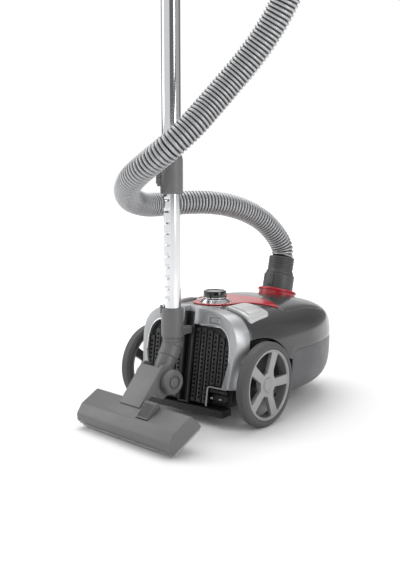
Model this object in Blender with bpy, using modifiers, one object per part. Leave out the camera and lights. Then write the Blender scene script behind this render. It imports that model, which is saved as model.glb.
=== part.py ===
"""A canister vacuum cleaner with its hose, telescopic wand and floor nozzle, parked upright.

Metres, +Z up. +Y runs from the rear grille to the nose, +X is the right side seen from behind.
The origin is on the floor, midway between the nozzle's front edge and the nose.
"""

import math

import bmesh
import bpy
from mathutils import Matrix, Vector

MM = 0.001
GAP = 0.3 * MM

# Rear wheels
TYRE_R = 82 * MM
TYRE_WIDTH = 24 * MM
TRACK_HALF = 158 * MM
TYRE_HEIGHT = 13.5 * MM
HUB_R = TYRE_R - TYRE_HEIGHT
HUB_WIDTH = 20 * MM
SPOKES = 5
SPOKE_WIDTH = 21 * MM
AXLE_R = 6 * MM
AXLE_Y = -58 * MM
AXLE_CLEARANCE = 0.4 * MM
ARCH_CLEARANCE = 6 * MM

# Body
BODY_HALF_W = 148 * MM
BODY_WIDEST_Y = 92 * MM
NOSE_LENGTH = 230 * MM
TAIL_LENGTH = 255 * MM
BELT_Z = 131 * MM
TOP_Z = 222 * MM
BOTTOM_Z = 20 * MM
WALL = 2.6 * MM
UPPER_CURVE = 3.2
LOWER_CURVE = 3.6
TUB_HALF_W = 125 * MM

# Rear face
REAR_Y = -133 * MM
REAR_LEAN = math.radians(8.4)
BEZEL_DEPTH = 28 * MM
BEZEL_HALF_W = 119 * MM
BEZEL_RIM = 16 * MM
BEZEL_TOP = 197 * MM
GRILLE_BOTTOM = 22 * MM
GRILLE_TOP = 171 * MM
GRILLE_THICK = 3 * MM
CHANNEL_HALF_W = 13 * MM
CHANNEL_DEPTH = 14 * MM
SLOT_HALF_W = 9 * MM
LATCH_X = 62 * MM

# Top
LID_REAR_Y = 47 * MM
LID_FRONT_Y = 272 * MM
LID_HALF_W = 117 * MM
LID_BOW = 32 * MM
LID_GAP = 0.9 * MM
KNOB_Y = -26 * MM
KNOB_R = 24 * MM
KNOB_HEIGHT = 15 * MM
SKIRT_R = 31 * MM
SKIRT_HEIGHT = 8.5 * MM
TRIM_THICK = 1.5 * MM
PEDAL_PROUD = 4 * MM
PEDAL_GAP = 0.9 * MM
PEDAL_FLOOR_Z = 196 * MM

# Inlet and hose
INLET_Y = 199 * MM
INLET_Z = 213.5 * MM
INLET_R = 43.5 * MM
INLET_BORE_R = 37 * MM
INLET_LEAN = math.radians(17)
CUFF_R = 34 * MM
CUFF_WALL = 4 * MM
CUFF_HEIGHT = 43 * MM
COLLAR_R = 28.5 * MM
COLLAR_HEIGHT = 39 * MM
CUFF_LEAN = math.radians(13.7)
HOSE_R = 24 * MM

# Wand
WAND_Y = -157 * MM
INNER_TUBE_R = 16 * MM
INNER_TUBE_LOW = 180 * MM
INNER_TUBE_LENGTH = 520 * MM
TUBE_WALL = 1.2 * MM
OUTER_TUBE_R = 17.6 * MM
OUTER_TUBE_LOW = 445 * MM
OUTER_TUBE_LENGTH = 475 * MM
COLLAR_SLEEVE_R = 21 * MM
COLLAR_SLEEVE_LENGTH = 71 * MM
SOCKET_R = 21.3 * MM
SOCKET_LOW = 171 * MM
SOCKET_LENGTH = 57 * MM
HANDLE_R = 21 * MM
HANDLE_BORE_R = 15 * MM

# Floor nozzle, turned a little in its socket
NOZZLE_YAW = math.radians(-6.7)
HINGE_REACH = 40 * MM
HINGE_Z = 98 * MM
HEAD_PITCH = math.radians(29.5)
HEAD_WIDTH = 262 * MM
HEAD_OFFSET = 15 * MM
HEAD_DEPTH = 79 * MM
HEAD_HEIGHT = 38.5 * MM
HEAD_REACH = 53 * MM
SOLE_DROP = 36.5 * MM
SOLE_THICK = 4 * MM
BARREL_R = 20 * MM
BARREL_HALF_W = 22 * MM
NECK_HALF_W = 29 * MM
NECK_DUCT_R = 18.5 * MM
CAP_R = 23 * MM
CAP_WIDTH = 15 * MM

# Front caster
CASTER_Y = 222 * MM
CASTER_R = 17 * MM
CASTER_WIDTH = 18 * MM
CASTER_TRAIL = 9 * MM
CASTER_POCKET_R = 33 * MM
CASTER_POCKET_TOP = 50 * MM

# The hose's centre line, from the mouth of its collar to the handle
HOSE_ROUTE = [
    (0, 218.5, 293.6), (0, 220.7, 302.6), (-2, 217, 321), (-8, 199, 347), (-17, 165, 376), (-29, 124, 397), (-43, 79, 411),
    (-60, 33, 418), (-80, -12, 419), (-98, -58, 417), (-107, -107, 417), (-97, -155, 425),
    (-74, -196, 437), (-42, -230, 454), (-3, -254, 473), (40, -263, 495), (80, -255, 523),
    (107, -231, 556), (127, -204, 592), (149, -180, 629), (175, -161, 667), (201, -147, 707),
    (225, -138, 749), (245, -133, 794), (260, -133, 841), (268, -134, 890), (267, -138, 939),
    (250, -144, 985), (215, -151, 1019), (168, -157, 1032), (131.5, -157, 1020.1), (122, -157, 1017),
]
HOSE_SPLITS = (8, 16)

for old in list(bpy.data.objects):
    bpy.data.objects.remove(old, do_unlink=True)
MODEL = bpy.data.collections.new("canister_vacuum_cleaner")
CUTTERS = bpy.data.collections.new("cutters")
CUTTERS.hide_render = True
bpy.context.scene.collection.children.link(MODEL)
bpy.context.scene.collection.children.link(CUTTERS)


def finish(name, colour, roughness, metallic=0.0):
    """A Principled material of one colour."""
    material = bpy.data.materials.new(name)
    material.use_nodes = True
    shader = material.node_tree.nodes["Principled BSDF"]
    shader.inputs["Base Color"].default_value = (*colour, 1)
    shader.inputs["Roughness"].default_value = roughness
    shader.inputs["Metallic"].default_value = metallic
    return material


SHELL_GREY = finish("shell_grey", (0.06, 0.06, 0.065), 0.2)
BUMPER_GREY = finish("bumper_grey", (0.17, 0.17, 0.18), 0.4)
BLACK = finish("black_plastic", (0.015, 0.015, 0.016), 0.5)
SILVER = finish("silver_paint", (0.45, 0.45, 0.46), 0.3, 0.6)
RED = finish("red_gloss", (0.5, 0.012, 0.03), 0.15)
CHROME = finish("chrome", (0.75, 0.75, 0.76), 0.08, 1.0)
TYRE_GREY = finish("tyre_grey", (0.14, 0.14, 0.14), 0.6)
NOZZLE_GREY = finish("nozzle_grey", (0.23, 0.23, 0.235), 0.4)
CUFF_GREY = finish("cuff_grey", (0.12, 0.12, 0.12), 0.45)
HOSE_GREY = finish("hose_grey", (0.35, 0.35, 0.35), 0.3)
PAPER = finish("paper", (0.75, 0.72, 0.62), 0.9)
FOAM = finish("foam", (0.1, 0.1, 0.11), 0.95)
BOARD = finish("circuit_board", (0.02, 0.2, 0.06), 0.5)
BRISTLE = finish("bristle", (0.03, 0.03, 0.03), 0.8)


# ---- shapes -------------------------------------------------------------------------------
def along(direction, at):
    """A frame at a point whose Z runs along a direction."""
    turn = Vector((0, 0, 1)).rotation_difference(Vector(direction).normalized())
    return Matrix.Translation(at) @ turn.to_matrix().to_4x4()


def show(name, mesh, material, frame=None):
    """Adds a mesh or curve to the model as one named, smooth-shaded object."""
    obj = bpy.data.objects.new(name, mesh)
    MODEL.objects.link(obj)
    obj.matrix_world = frame if frame else Matrix.Identity(4)
    mesh.materials.append(material)
    if isinstance(mesh, bpy.types.Mesh):
        mesh.shade_smooth()
        mesh.set_sharp_from_angle(angle=math.radians(35))
    return obj


def from_bmesh(name, work, material, frame=None):
    mesh = bpy.data.meshes.new(name)
    work.to_mesh(mesh)
    work.free()
    return show(name, mesh, material, frame)


def box(name, low, high, material, frame=None, bevel=0.0):
    """A box between two corners."""
    work = bmesh.new()
    bmesh.ops.create_cube(work, size=1)
    low, high = Vector(low), Vector(high)
    bmesh.ops.scale(work, vec=high - low, verts=work.verts)
    bmesh.ops.translate(work, vec=(low + high) / 2, verts=work.verts)
    obj = from_bmesh(name, work, material, frame)
    if bevel:
        round_edges(obj, bevel)
    return obj


def round_edges(obj, width, segments=1):
    modifier = obj.modifiers.new("rounded edges", "BEVEL")
    modifier.width = width
    modifier.segments = segments
    modifier.limit_method = "ANGLE"
    modifier.angle_limit = math.radians(40)


def rod(name, radius, start, end, material, segments=20):
    """A cylinder from one point to another."""
    start, end = Vector(start), Vector(end)
    work = bmesh.new()
    bmesh.ops.create_cone(work, cap_ends=True, segments=segments, radius1=radius, radius2=radius,
                          depth=(end - start).length)
    return from_bmesh(name, work, material, along(end - start, (start + end) / 2))


def turned(name, profile, material, frame=None, steps=20, ring=False):
    """A profile of (radius, height) points turned about Z, with a ring's profile closed."""
    count = len(profile)
    mesh = bpy.data.meshes.new(name)
    edges = [(i, i + 1) for i in range(count - 1)]
    if ring:
        edges.append((count - 1, 0))
    mesh.from_pydata([(r, 0, z) for r, z in profile], edges, [])
    obj = show(name, mesh, material, frame)
    screw = obj.modifiers.new("turned", "SCREW")
    screw.steps = steps
    screw.render_steps = steps
    screw.use_merge_vertices = True
    screw.merge_threshold = 0.00001
    screw.use_smooth_shade = True
    return obj


def sleeve(name, outer, inner, low, high, material, frame=None, steps=20, chamfer=0.0):
    """A plain tube turned about Z, with its outer edges chamfered."""
    profile = [(outer - chamfer, high), (outer, high - chamfer), (outer, low + chamfer),
               (outer - chamfer, low)] if chamfer else [(outer, high), (outer, low)]
    return turned(name, profile + [(inner, low), (inner, high)], material, frame, steps, ring=True)


def outline(name, loops, low, high, material, frame=None, bevel=0.0):
    """A flat outline of one or more loops in XY, from one height to another, as a mesh."""
    curve = bpy.data.curves.new(name, "CURVE")
    curve.dimensions = "2D"
    curve.fill_mode = "BOTH"
    curve.extrude = (high - low) / 2
    for loop in loops:
        spline = curve.splines.new("POLY")
        spline.points.add(len(loop) - 1)
        for point, (x, y) in zip(spline.points, loop):
            point.co = (x, y, 0, 1)
        spline.use_cyclic_u = True
    drawn = bpy.data.objects.new(name, curve)
    MODEL.objects.link(drawn)
    mesh = as_mesh(drawn)
    mesh.transform(Matrix.Translation((0, 0, (low + high) / 2)))
    obj = show(name, mesh, material, frame)
    if bevel:
        round_edges(obj, bevel)
    return obj


def as_mesh(drawn):
    """The welded mesh of a curve object, which is removed."""
    bpy.context.view_layer.update()
    graph = bpy.context.evaluated_depsgraph_get()
    mesh = bpy.data.meshes.new_from_object(drawn.evaluated_get(graph))
    bpy.data.objects.remove(drawn, do_unlink=True)
    work = bmesh.new()
    work.from_mesh(mesh)
    bmesh.ops.remove_doubles(work, verts=work.verts, dist=0.00001)
    work.to_mesh(mesh)
    work.free()
    return mesh


def pipe(name, points, radius, material, resolution=3, solid=False):
    """A round bar along points, as a curve, or as a mesh where it is cut or joined."""
    curve = bpy.data.curves.new(name, "CURVE")
    curve.dimensions = "3D"
    curve.bevel_depth = radius
    curve.bevel_resolution = resolution
    curve.use_fill_caps = True
    spline = curve.splines.new("POLY")
    spline.points.add(len(points) - 1)
    for point, place in zip(spline.points, points):
        point.co = (*place, 1)
    if not solid:
        return show(name, curve, material)
    drawn = bpy.data.objects.new(name, curve)
    MODEL.objects.link(drawn)
    return show(name, as_mesh(drawn), material)


def combine(obj, other, operation):
    """A Boolean with an object that leaves the model for the cutters."""
    if other.name in MODEL.objects:
        MODEL.objects.unlink(other)
        CUTTERS.objects.link(other)
    other.hide_render = True
    other.display_type = "WIRE"
    boolean = obj.modifiers.new(operation.lower(), "BOOLEAN")
    boolean.operation = operation
    boolean.solver = "EXACT"
    boolean.object = other


def cut(obj, *cutters):
    for cutter in cutters:
        combine(obj, cutter, "DIFFERENCE")


def join(obj, *pieces):
    for piece in pieces:
        combine(obj, piece, "UNION")


def keep(obj, cutter):
    combine(obj, cutter, "INTERSECT")


def spread(count):
    return [i / (count - 1) for i in range(count)]


def arc(centre, radius, start, end, count):
    """Points along an arc, angles in degrees."""
    return [(centre[0] + radius * math.cos(math.radians(start + (end - start) * t)),
             centre[1] + radius * math.sin(math.radians(start + (end - start) * t)))
            for t in spread(count)]


def rounded(low, high, radius, count=4):
    """A rectangle's loop with round corners."""
    corners = [(high[0] - radius, high[1] - radius, 0), (low[0] + radius, high[1] - radius, 90),
               (low[0] + radius, low[1] + radius, 180), (high[0] - radius, low[1] + radius, 270)]
    return [p for x, y, start in corners for p in arc((x, y), radius, start, start + 90, count)]


# ---- the body's form ----------------------------------------------------------------------
def half_width(y):
    if y > BODY_WIDEST_Y:
        return BODY_HALF_W * math.sqrt(max(0, 1 - ((y - BODY_WIDEST_Y) / NOSE_LENGTH) ** 2))
    return BODY_HALF_W * (1 - ((BODY_WIDEST_Y - y) / TAIL_LENGTH) ** 3) ** (1 / 3)


def top(y):
    if y > BODY_WIDEST_Y:
        return BELT_Z + (TOP_Z - BELT_Z) * math.sqrt(max(0, 1 - ((y - BODY_WIDEST_Y) / NOSE_LENGTH) ** 2))
    return TOP_Z


def bottom(y):
    lift_from = BODY_WIDEST_Y + NOSE_LENGTH * 0.35
    if y < lift_from:
        return BOTTOM_Z
    reach = (y - lift_from) / (BODY_WIDEST_Y + NOSE_LENGTH - lift_from)
    return BELT_Z - (BELT_Z - BOTTOM_Z) * (1 - min(1, reach) ** 3) ** (1 / 3)


def section(y, inset, count):
    """One closed section of the body, offset inwards."""
    points = []
    for i in range(count):
        angle = 2 * math.pi * i / count
        c, s = math.cos(angle), math.sin(angle)
        power = 2 / (UPPER_CURVE if s >= 0 else LOWER_CURVE)
        rise = top(y) - inset - BELT_Z if s >= 0 else BELT_Z - bottom(y) - inset
        x = (half_width(y) - inset) * math.copysign(abs(c) ** power, c)
        points.append((x, y, BELT_Z + rise * math.copysign(abs(s) ** power, s)))
    return points


def surface_z(x, y, inset=0.0):
    """The height of the body's upper surface over a point."""
    share = min(1, abs(x) / (half_width(y) - inset))
    return BELT_Z + (top(y) - inset - BELT_Z) * (1 - share ** UPPER_CURVE) ** (1 / UPPER_CURVE)


def body(name, inset, rear_y, material, count=28):
    """The whole body as one closed loft, from its rear plane to the tip of its nose."""
    stations = [rear_y + (BODY_WIDEST_Y - rear_y) * t for t in spread(6)]
    reach = NOSE_LENGTH - inset
    stations += [BODY_WIDEST_Y + reach * math.sin(math.radians(a)) for a in (14, 27, 39, 50, 60, 69, 77, 84)]
    work = bmesh.new()
    rings = []
    for y in stations:
        shape_y = y if y < BODY_WIDEST_Y else BODY_WIDEST_Y + (y - BODY_WIDEST_Y) * NOSE_LENGTH / reach
        scale = (half_width(shape_y) * (BODY_HALF_W - inset) / BODY_HALF_W + inset) if y > BODY_WIDEST_Y else None
        points = section(shape_y, inset, count)
        if scale:
            full = max(abs(p[0]) for p in points)
            points = [(p[0] * (scale - inset) / full, y, nose_z(p[2], shape_y, inset)) for p in points]
        rings.append([work.verts.new((p[0], y, p[2])) for p in points])
    for near, far in zip(rings, rings[1:]):
        for i in range(count):
            j = (i + 1) % count
            work.faces.new((near[i], far[i], far[j], near[j]))
    tip = work.verts.new((0, BODY_WIDEST_Y + reach, BELT_Z))
    for i in range(count):
        work.faces.new((rings[-1][i], tip, rings[-1][(i + 1) % count]))
    work.faces.new(rings[0])
    bmesh.ops.recalc_face_normals(work, faces=work.faces)
    return from_bmesh(name, work, material)


def nose_z(z, y, inset):
    """Keeps an offset nose's section the outer one's shape, so that its wall stays even."""
    rise = top(y) - BELT_Z if z >= BELT_Z else BELT_Z - bottom(y)
    full = TOP_Z - BELT_Z if z >= BELT_Z else BELT_Z - BOTTOM_Z
    offset = rise - inset
    return BELT_Z + (z - BELT_Z) * (rise * (full - inset) / full) / offset if abs(offset) > MM else BELT_Z


def shell(name, outer_inset, material):
    """The body's wall as an open-backed shell."""
    skin = body(name, outer_inset, REAR_Y + BEZEL_DEPTH * 0.4, material)
    cut(skin, body(name + "_hollow", outer_inset + WALL, REAR_Y - BEZEL_DEPTH, material))
    return skin


# ---- outlines shared by pieces that meet --------------------------------------------------
def side_prism(name, loop, material):
    """An outline in YZ run through the whole width."""
    frame = Matrix(((0, 0, 1, 0), (1, 0, 0, 0), (0, 1, 0, 0), (0, 0, 0, 1)))
    reach = TRACK_HALF + TYRE_WIDTH
    return outline(name, [loop], -reach, reach, material, frame)


def plan_prism(name, loop, material, low=150 * MM, high=300 * MM):
    return outline(name, [loop], low, high, material)


ARCH_R = TYRE_R + ARCH_CLEARANCE
NOSE_Y = BODY_WIDEST_Y + NOSE_LENGTH
SEAM_Y = AXLE_Y + ARCH_R + 6 * MM
SEAM_ROUND = 16 * MM
BUMPER_LOW = BOTTOM_Z + 8 * MM


def seam_line(gap):
    """The upper shell's lower edge, from behind the wheel over its arch and along the belt."""
    over_wheel = arc((AXLE_Y, TYRE_R), ARCH_R + gap, 140, 24, 12)
    corner = arc((SEAM_Y + SEAM_ROUND - gap, BELT_Z - SEAM_ROUND + gap), SEAM_ROUND, 180, 90, 5)
    return over_wheel + corner


def below_seam():
    line = seam_line(0)
    far = NOSE_Y + 20 * MM
    rear = REAR_Y - 20 * MM
    return [(rear, line[0][1])] + line + [(far, BELT_Z), (far, 0), (rear, 0)]


def bumper_side():
    front = NOSE_Y + 20 * MM
    corner = arc((SEAM_Y + SEAM_ROUND, BELT_Z - SEAM_ROUND - GAP), SEAM_ROUND, 180, 90, 5)
    return corner + [(front, BELT_Z - GAP), (front, BUMPER_LOW), (SEAM_Y, BUMPER_LOW)]


def lid_plan(gap):
    """The lid's plan: a bowed rear edge round the trim, straight sides, a rounded front."""
    widest = LID_REAR_Y + 100 * MM
    front = LID_FRONT_Y + gap
    half = LID_HALF_W + gap
    points = []
    for t in spread(9):
        x = -half + 2 * half * t
        points.append((x, LID_REAR_Y - gap + LID_BOW * (1 - (x / half) ** 2)))
    for t in spread(9)[1:-1]:
        y = widest + (front - widest) * math.sin(t * math.pi / 2)
        points.append((half * (1 - ((y - widest) / (front - widest)) ** 2.6) ** (1 / 2.6), y))
    return points + [(0, front)] + [(-x, y) for x, y in reversed(points[9:])]


def trim_plan():
    """The red plate: its front edge follows the lid's bow, its rear edge rounds the knob."""
    half = LID_HALF_W - 10 * MM
    front = [(half - 2 * half * t, 0) for t in spread(9)]
    rear_margin = 5 * MM
    front = [(x, LID_REAR_Y - rear_margin + LID_BOW * (1 - (x / LID_HALF_W) ** 2)) for x, _ in front]
    knob_side = arc((0, KNOB_Y), SKIRT_R + 13 * MM, 205, 335, 8)
    neck_x = SKIRT_R + 22 * MM
    return front + [(-neck_x, LID_REAR_Y - 42 * MM)] + knob_side + [(neck_x, LID_REAR_Y - 42 * MM)]


def pedal_plan(side, gap):
    low = Vector((61 * MM, -68 * MM))
    high = Vector((118 * MM, -4 * MM))
    inner, outer = low.x - gap, high.x + gap
    loop = rounded((inner, low.y - gap), (outer, high.y + gap), 9 * MM)
    return [(side * x, y) for x, y in loop][::side]


# ---- canister ------------------------------------------------------------------------------
def rear_frame():
    """The leaning rear face: X across, Y up along the face, Z out towards the back."""
    up = Vector((0, math.sin(REAR_LEAN), math.cos(REAR_LEAN)))
    out = Vector((0, -math.cos(REAR_LEAN), math.sin(REAR_LEAN)))
    turn = Matrix((Vector((1, 0, 0)), up, out)).transposed().to_4x4()
    return Matrix.Translation((0, REAR_Y, BOTTOM_Z)) @ turn


REAR = rear_frame()


def inlet_frame(lean):
    return along((0, math.sin(lean), math.cos(lean)), (0, INLET_Y, INLET_Z))


def upper_shell():
    skin = shell("upper_shell", 0, SHELL_GREY)
    cut(skin, side_prism("below_seam", below_seam(), BLACK))
    cut(skin, behind_plane("behind_shell", BEZEL_DEPTH + GAP))
    cut(skin, plan_prism("lid_opening", lid_plan(LID_GAP), BLACK))
    for side, name in ((1, "right"), (-1, "left")):
        cut(skin, plan_prism("pedal_opening_" + name, pedal_plan(side, PEDAL_GAP), BLACK))
    cut(skin, rod("knob_hole", 10 * MM, (0, KNOB_Y, 0.15), (0, KNOB_Y, 0.3), BLACK))


def front_bumper():
    skin = shell("front_bumper", 0, BUMPER_GREY)
    keep(skin, side_prism("bumper_extent", bumper_side(), BLACK))
    cut(skin, rod("bumper_caster_hole", CASTER_POCKET_R + TUB_WALL + 1 * MM, (0, CASTER_Y, 0), (0, CASTER_Y, 0.06),
                  BLACK, 24))


TUB_WALL = 2.6 * MM
TUB_TOP = 104 * MM


def behind_plane(name, depth):
    """Everything behind a plane at this depth under the leaning rear face."""
    return box(name, (-0.3, -0.1, -depth), (0.3, 0.3, 0.2), BLACK, REAR)


def lower_chassis():
    """The tub inside the bumper, with side walls up to the wheel arches and a rear ledge."""
    inset = WALL + 1.2 * MM
    back = BEZEL_DEPTH + 1 * MM
    tub = body("lower_chassis", inset, REAR_Y + 10 * MM, BLACK)
    well = AXLE_Y + ARCH_R + 4 * MM
    high = TYRE_R + ARCH_R - 6 * MM
    keep(tub, side_prism("tub_side", [(REAR_Y - 0.01, 0), (NOSE_Y, 0), (NOSE_Y, TUB_TOP), (well, TUB_TOP),
                                      (well, high), (REAR_Y - 0.01, high)], BLACK))
    cut(tub, behind_plane("behind_tub", back))
    for side in (1, -1):
        reach = sorted((side * TUB_HALF_W, side * (TUB_HALF_W + 0.1)))
        cut(tub, box(f"wheel_well_{side}", (reach[0], REAR_Y - 0.05, -0.01), (reach[1], well, 0.2), BLACK))
    hollow = body("tub_hollow", inset + TUB_WALL, REAR_Y + 10 * MM, BLACK)
    cut(hollow, behind_plane("behind_hollow", back + TUB_WALL))
    for side in (1, -1):
        reach = sorted((side * (TUB_HALF_W - TUB_WALL), side * (TUB_HALF_W + 0.1)))
        cut(hollow, box(f"well_wall_{side}", (reach[0], REAR_Y - 0.05, -0.01), (reach[1], well + TUB_WALL, 0.3), BLACK))
    cut(tub, hollow)
    ledge = box("rear_ledge", (-96 * MM, REAR_Y + 6 * MM, BOTTOM_Z + 1 * MM),
                (96 * MM, REAR_Y + back + 5 * MM, BOTTOM_Z + 15 * MM), BLACK)
    join(tub, ledge)
    pocket = rod("caster_pocket", CASTER_POCKET_R + TUB_WALL, (0, CASTER_Y, BOTTOM_Z + 4 * MM),
                 (0, CASTER_Y, CASTER_POCKET_TOP + TUB_WALL), BLACK, 24)
    join(tub, pocket)
    cut(tub, rod("caster_hollow", CASTER_POCKET_R, (0, CASTER_Y, 0), (0, CASTER_Y, CASTER_POCKET_TOP), BLACK, 24))
    cut(tub, rod("caster_bore", CASTER_PIN_R + 0.1 * MM, (0, CASTER_Y, 0.04), (0, CASTER_Y, 0.08), BLACK))
    bearing = AXLE_R + 0.05 * MM
    cut(tub, rod("axle_bore", bearing, (-0.2, AXLE_Y, TYRE_R), (0.2, AXLE_Y, TYRE_R), BLACK, 24))


CASTER_PIN_R = 4 * MM


def bezel_outline(inset, low):
    """An arch over the rear face, narrowing towards its feet."""
    points = []
    foot = 104 * MM - inset
    for t in spread(21):
        angle = math.pi * t
        c, s = math.cos(angle), math.sin(angle)
        width = (BEZEL_HALF_W - inset) * math.copysign(abs(c) ** 0.5, c)
        points.append((width, 110 * MM + (BEZEL_TOP - inset - 110 * MM) * abs(s) ** 0.62))
    return [(foot, low)] + points + [(-foot, low)]


def rear_bezel():
    low = 58 * MM
    outer = bezel_outline(0, low)
    piece = outline("rear_bezel", [outer], -BEZEL_DEPTH, 0, SILVER, REAR, bevel=5 * MM)
    inner = bezel_outline(BEZEL_RIM, low - 20 * MM)
    inner = [(x, min(y, GRILLE_TOP + 2 * MM)) for x, y in inner]
    cut(piece, outline("bezel_opening", [inner], -0.05, 0.02, SILVER, REAR))
    cut(piece, box("bezel_notch", (-CHANNEL_HALF_W - GAP, 0.1, -CHANNEL_DEPTH - GAP),
                   (CHANNEL_HALF_W + GAP, 0.3, 0.01), SILVER, REAR))
    for side in (1, -1):
        x = side * LATCH_X
        cut(piece, box(f"latch_window_{side}", (x - 13 * MM, 0.178, -0.012), (x + 13 * MM, 0.19, 0.02), SILVER, REAR))


def grille_latches():
    for side, name in ((1, "right"), (-1, "left")):
        x = side * LATCH_X
        box("grille_latch_" + name, (x - 12.4 * MM, 0.1786, -0.0086), (x + 12.4 * MM, 0.1894, -0.001),
            SILVER, REAR, bevel=1 * MM)


def park_channel():
    """The upright channel between the grille's halves, which takes the wand's park hook."""
    piece = box("park_channel", (-CHANNEL_HALF_W, GRILLE_BOTTOM - 3 * MM, -CHANNEL_DEPTH),
                (CHANNEL_HALF_W, BEZEL_TOP - 1 * MM, -1 * MM), BLACK, REAR)
    cut(piece, box("park_slot", (-SLOT_HALF_W, GRILLE_BOTTOM, -CHANNEL_DEPTH + 3 * MM),
                   (SLOT_HALF_W, 0.25, 0.01), BLACK, REAR))


RECESS_X = (60 * MM, 98 * MM)
RECESS_TOP = 58 * MM


def grille_half(side, name):
    """A half of the exhaust grille: a plate with slots, notched on the right for the plug recess."""
    edge = CHANNEL_HALF_W + 1 * MM
    outer = BEZEL_HALF_W - BEZEL_RIM - 1.5 * MM
    low = RECESS_TOP + 3 * MM if side > 0 else GRILLE_BOTTOM
    loop = [(edge, GRILLE_BOTTOM), (RECESS_X[0] - 4 * MM, GRILLE_BOTTOM), (RECESS_X[0] - 4 * MM, low),
            (86 * MM, low), (outer - 6 * MM, 80 * MM), (outer - 0.5 * MM, 110 * MM), (outer - 4 * MM, 140 * MM),
            (outer - 14 * MM, 160 * MM), (outer - 32 * MM, GRILLE_TOP), (edge, GRILLE_TOP)]
    if side < 0:
        loop[1:3] = []
    slots = []
    for i in range(5):
        x = edge + 8 * MM + i * 15 * MM
        base = low + 8 * MM if x > RECESS_X[0] - 8 * MM else GRILLE_BOTTOM + 8 * MM
        slots.append([(x, base), (x + 3 * MM, base), (x + 3 * MM, 150 * MM), (x, 150 * MM)])
    loops = [[(side * x, y) for x, y in points][::side] for points in [loop] + slots]
    outline("exhaust_grille_" + name, loops, -6 * MM - GRILLE_THICK, -6 * MM, BLACK, REAR)


def recess_and_plug():
    """The roller bar over the cord's recess, and the mains plug parked in it, pins outwards."""
    middle = (RECESS_X[0] + RECESS_X[1]) / 2
    bar_y, bar_z = RECESS_TOP - 8 * MM, -10 * MM
    ends = [REAR @ Vector((x, bar_y, bar_z)) for x in RECESS_X]
    rod("recess_bar", 3.5 * MM, ends[0], ends[1], BLACK, 16)
    half_w, half_h = 17 * MM, 7.5 * MM
    plug_y = bar_y - half_h - 5.5 * MM
    frame = REAR @ Matrix.Translation((middle, plug_y, 0))
    plug = outline("mains_plug", [rounded((-half_w, -half_h), (half_w, half_h), half_h - 0.5 * MM)], -27 * MM, -12 * MM,
                   BLACK, frame)
    pin_gap = 9.5 * MM
    for side in (1, -1):
        join(plug, rod(f"plug_pin_{side}", 2.2 * MM, frame @ Vector((side * pin_gap, 0, -14 * MM)),
                       frame @ Vector((side * pin_gap, 0, -2 * MM)), CHROME, 12))


def hepa_filter():
    """The exhaust filter behind the grille, above the plug's recess."""
    box("hepa_filter", (-84 * MM, RECESS_TOP + 6 * MM, -BEZEL_DEPTH + 1 * MM),
        (84 * MM, 148 * MM, -CHANNEL_DEPTH - 1 * MM), PAPER, REAR)


def top_trim():
    plate = body("top_trim", -GAP - TRIM_THICK, REAR_Y + 30 * MM, RED)
    cut(plate, body("trim_underside", -GAP, REAR_Y, RED))
    keep(plate, plan_prism("trim_plan", trim_plan(), RED))
    cut(plate, rod("trim_hole", SKIRT_R + GAP, (0, KNOB_Y, 0.15), (0, KNOB_Y, 0.3), RED, 32))


def knob():
    """The suction knob on its chrome skirt, with a shaft down to the speed control."""
    base = TOP_Z + GAP
    frame = Matrix.Translation((0, KNOB_Y, base))
    turned("knob_skirt", [(KNOB_R - 1 * MM, SKIRT_HEIGHT), (KNOB_R + 2 * MM, SKIRT_HEIGHT - 1 * MM),
                          (SKIRT_R, 1 * MM), (SKIRT_R, 0), (8 * MM, 0), (8 * MM, SKIRT_HEIGHT)],
           CHROME, frame, ring=True)
    low = SKIRT_HEIGHT + GAP
    high = low + KNOB_HEIGHT
    turned("suction_knob", [(0, high - 1.5 * MM), (KNOB_R - 5 * MM, high - 1.5 * MM), (KNOB_R - 3 * MM, high),
                            (KNOB_R - 1 * MM, high - 1 * MM), (KNOB_R, low), (5 * MM, low),
                            (5 * MM, -12 * MM), (0, -12 * MM)], BLACK, frame)


BOARD_Z = 194 * MM


def electronics():
    reach = 30 * MM
    box("circuit_board", (-reach, KNOB_Y - 26 * MM, BOARD_Z), (reach, KNOB_Y + 26 * MM, BOARD_Z + 1.6 * MM), BOARD)
    join(bpy.data.objects["circuit_board"],
         rod("speed_control", 9 * MM, (0, KNOB_Y, BOARD_Z + 1 * MM), (0, KNOB_Y, BOARD_Z + 13 * MM), BOARD, 16))


def pedals():
    for side, name in ((1, "power_pedal"), (-1, "rewind_pedal")):
        pedal = body(name, -PEDAL_PROUD, REAR_Y + 30 * MM, SILVER)
        keep(pedal, plan_prism(name + "_plan", pedal_plan(side, 0), SILVER, PEDAL_FLOOR_Z, 0.3))


def dust_lid():
    lid = shell("dust_lid", 0, SHELL_GREY)
    keep(lid, plan_prism("lid_extent", lid_plan(0), SHELL_GREY))
    frame = inlet_frame(INLET_LEAN)
    hole = rod("inlet_hole", INLET_BORE_R + 3.5 * MM + GAP, frame @ Vector((0, 0, -0.06)),
               frame @ Vector((0, 0, 0.06)), BLACK, 32)
    cut(lid, hole)


def inlet_ring():
    """The ring round the hose inlet: a raised rim on the lid and a neck through it."""
    neck = INLET_BORE_R + 3.5 * MM
    turned("inlet_ring", [(INLET_BORE_R + 1 * MM, 8 * MM), (INLET_R - 2 * MM, 7 * MM), (INLET_R, 4.5 * MM),
                          (INLET_R, 3.2 * MM), (neck, 3.2 * MM), (neck, -16 * MM), (INLET_BORE_R, -16 * MM),
                          (INLET_BORE_R, 7 * MM)], RED, inlet_frame(INLET_LEAN), ring=True)


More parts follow.
